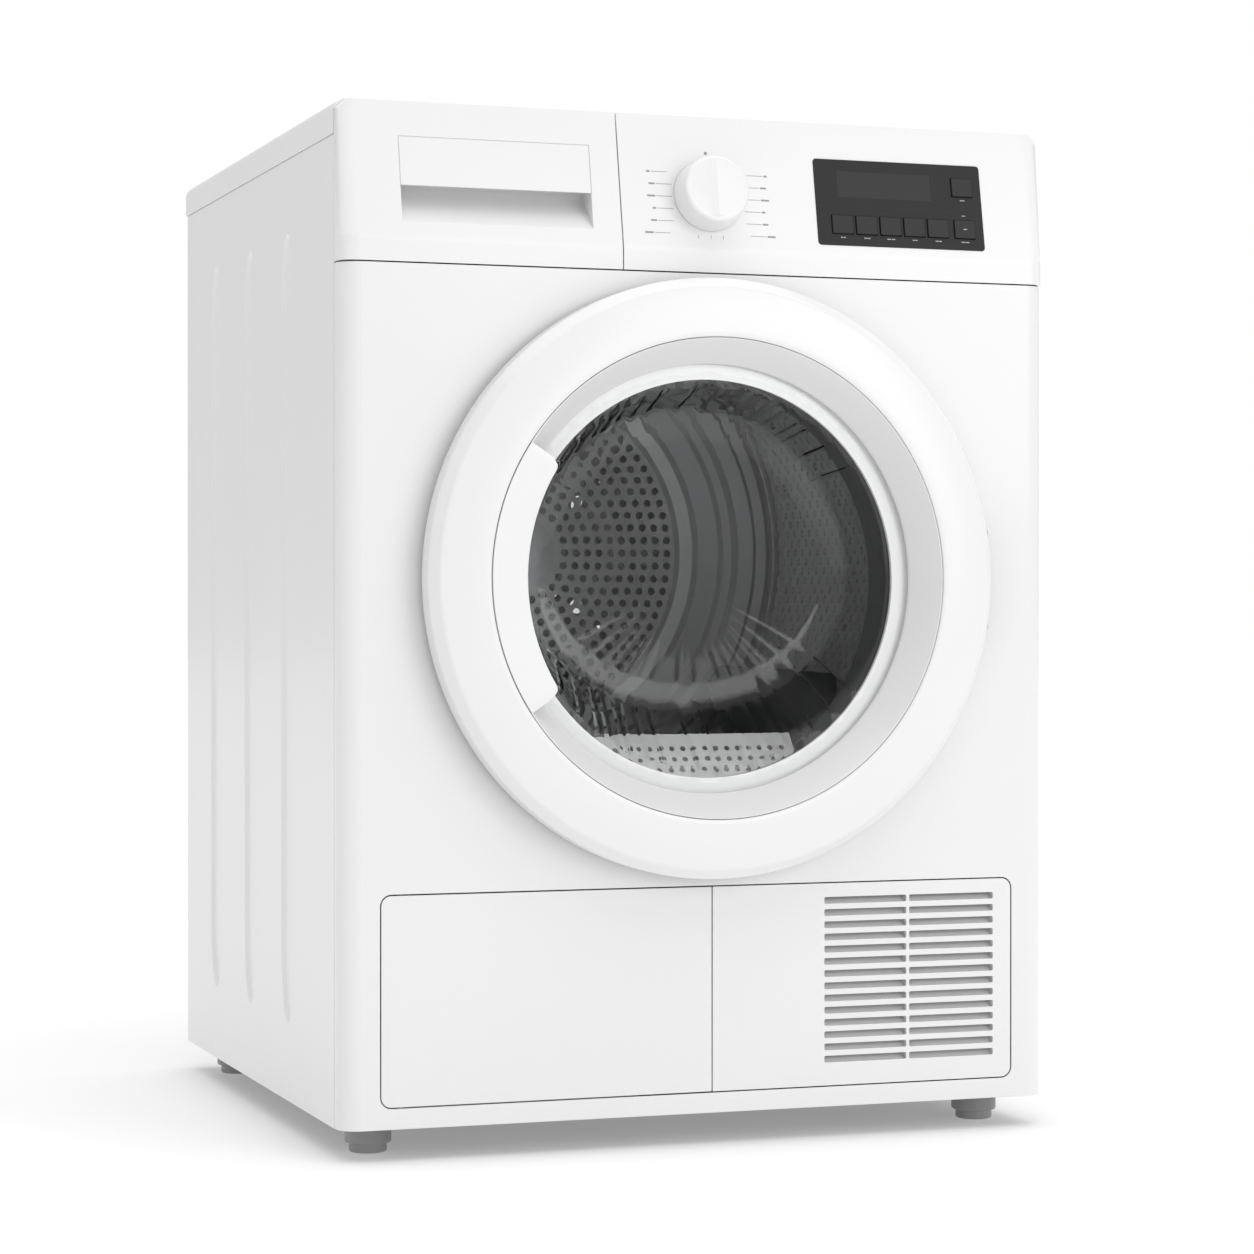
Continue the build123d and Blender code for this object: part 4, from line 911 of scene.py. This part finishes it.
# ---------------------------------------------------------------- throat, filter and front seal
# The front bulkhead is a grey moulding with the loading throat and the drum's front flange.
# The lint filter drops into its duct, under a pale perforated plate.
dress(grey_moulding, "front_bulkhead")
filter_moulding = surface("filter_moulding", (0.50, 0.50, 0.50), 0.4, 0.0008, 0.00003)
dress(filter_moulding, "lint_filter")
felt = surface("pressed_felt", (0.30, 0.29, 0.28), 0.95, 0.0009, 0.0004, mottle=0.2)
dress(felt, "front_felt", "rear_felt")


# ---------------------------------------------------------------- drum
# The drum is rolled from stainless sheet, seam-welded and pressed with rows of small dimples,
# and crimped to a stepped rear wall whose perforated disc lets the hot air in.
def drum_steel(name, axis_z, dimples):
    """Stainless sheet with a fine grain, and on the shell rows of pressed dimples round the axis."""
    material = surface(name, (0.62, 0.62, 0.625), 0.36, 0.0009, 0.000012, mottle=0.06, spread=0.08,
                       metallic=0.8, stretch=(1, 5, 1))
    if not dimples:
        return material
    nodes, links = material.node_tree.nodes, material.node_tree.links
    place = next(node for node in nodes if node.type == "TEX_COORD")
    bump = next(node for node in nodes if node.type == "BUMP")
    split = nodes.new("ShaderNodeSeparateXYZ")
    links.new(place.outputs["Object"], split.inputs["Vector"])

    def sum_of(operation, first, second):
        step = nodes.new("ShaderNodeMath")
        step.operation = operation
        for socket, value in zip(step.inputs, (first, second)):
            if isinstance(value, (int, float)):
                socket.default_value = value
            else:
                links.new(value, socket)
        return step.outputs["Value"]

    pitch = 0.0125
    height = sum_of("SUBTRACT", split.outputs["Z"], axis_z)
    turn = sum_of("ARCTAN2", height, split.outputs["X"])
    around = sum_of("MULTIPLY", turn, 0.256 / pitch)
    along = sum_of("MULTIPLY", split.outputs["Y"], 1 / pitch)
    rows = nodes.new("ShaderNodeCombineXYZ")
    links.new(sum_of("ADD", around, along), rows.inputs["X"])
    links.new(sum_of("SUBTRACT", around, along), rows.inputs["Y"])
    cell = nodes.new("ShaderNodeTexVoronoi")
    cell.inputs["Scale"].default_value = 0.7
    cell.inputs["Randomness"].default_value = 0.0
    links.new(rows.outputs["Vector"], cell.inputs["Vector"])
    dimple = nodes.new("ShaderNodeMapRange")
    dimple.interpolation_type = "SMOOTHSTEP"
    dimple.inputs["From Min"].default_value = 0.12
    dimple.inputs["From Max"].default_value = 0.3
    links.new(cell.outputs["Distance"], dimple.inputs["Value"])
    pressed = nodes.new("ShaderNodeBump")
    pressed.inputs["Distance"].default_value = 0.0012
    links.new(dimple.outputs["Result"], pressed.inputs["Height"])
    links.new(bump.outputs["Normal"], pressed.inputs["Normal"])
    links.new(pressed.outputs["Normal"], nodes["Principled BSDF"].inputs["Normal"])
    return material


low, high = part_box("drum_shell")
drum_centre = (0.0, (low.z + high.z) / 2)
shell = turned("rolled_drum_shell", [
    (62, 212.3), (76, 212.3), (80, 214), (84, 219.6), (98, 243), (106, 250), (110, 252.4), (116, 254.1),
    (122, 254.3), (130, 254.3), (132, 253.7), (134, 251.8), (136, 251.2), (138, 251.2), (140, 251.8),
    (142, 253.7), (144, 254.3), (464, 254.3), (466, 253.7), (468, 251.8), (470, 251.2), (472, 251.2),
    (474, 251.8), (476, 253.7), (478, 254.3),
    (492, 254.3), (492, 256), (477, 256), (473, 253.5), (469, 253.5), (465, 256), (143, 256), (139, 253.5),
    (135, 253.5), (131, 256), (122, 256), (113, 255.2), (105, 251.7), (97, 244.4), (83, 221), (78, 215.6),
    (75, 213.9),
    (62, 213.9),
], drum_centre, steps=256, angle=40)
finished(shell, drum_steel("drum_shell_steel", drum_centre[1], True), "drum", "drum_steel", "drum_shell")
plain_drum_steel = drum_steel("drum_steel", drum_centre[1], False)
dress(plain_drum_steel, "drum_rear_wall")

lifter_moulding = surface("lifter_moulding", (0.10, 0.10, 0.102), 0.42, 0.0008, 0.00004)
dress(lifter_moulding, "drum_lifters")


# ---------------------------------------------------------------- water tank
# Blow-moulded in natural polyethylene behind its gloss front, it slides in a grey guide
# under the worktop, and the pump's hose fills it through the port on top.
tank_moulding = surface("tank_moulding", (0.66, 0.68, 0.69), 0.45, 0.0015, 0.00005, mottle=0.05)
dress(tank_moulding, "water_tank")
dress(grey_moulding, "tank_guide", "condensate_pump")


# ---------------------------------------------------------------- drive, air path and electrics
# Behind the covers: the motor with a fan at each end of its shaft, the sprung belt pulley,
# the finned condenser, and the circuit board behind the fascia.
dress(grey_moulding, "fan_housing", "cooling_fan", "process_fan", "idler_pulley")
castings = surface("motor_castings", (0.16, 0.16, 0.165), 0.5, 0.0008, 0.00006, metallic=0.6)
dress(castings, "motor_housing", "motor_rotor")
fins = surface("fin_aluminium", (0.66, 0.67, 0.68), 0.34, 0.0006, 0.00001, metallic=1.0)
dress(fins, "heat_exchanger")
bronze = surface("bearing_bronze", (0.48, 0.30, 0.14), 0.4, 0.0005, 0.00001, metallic=1.0)
dress(bronze, "rear_bearing")
laminate = surface("board_laminate", (0.02, 0.12, 0.05), 0.45, 0.0008, 0.00002)
dress(laminate, "control_board")
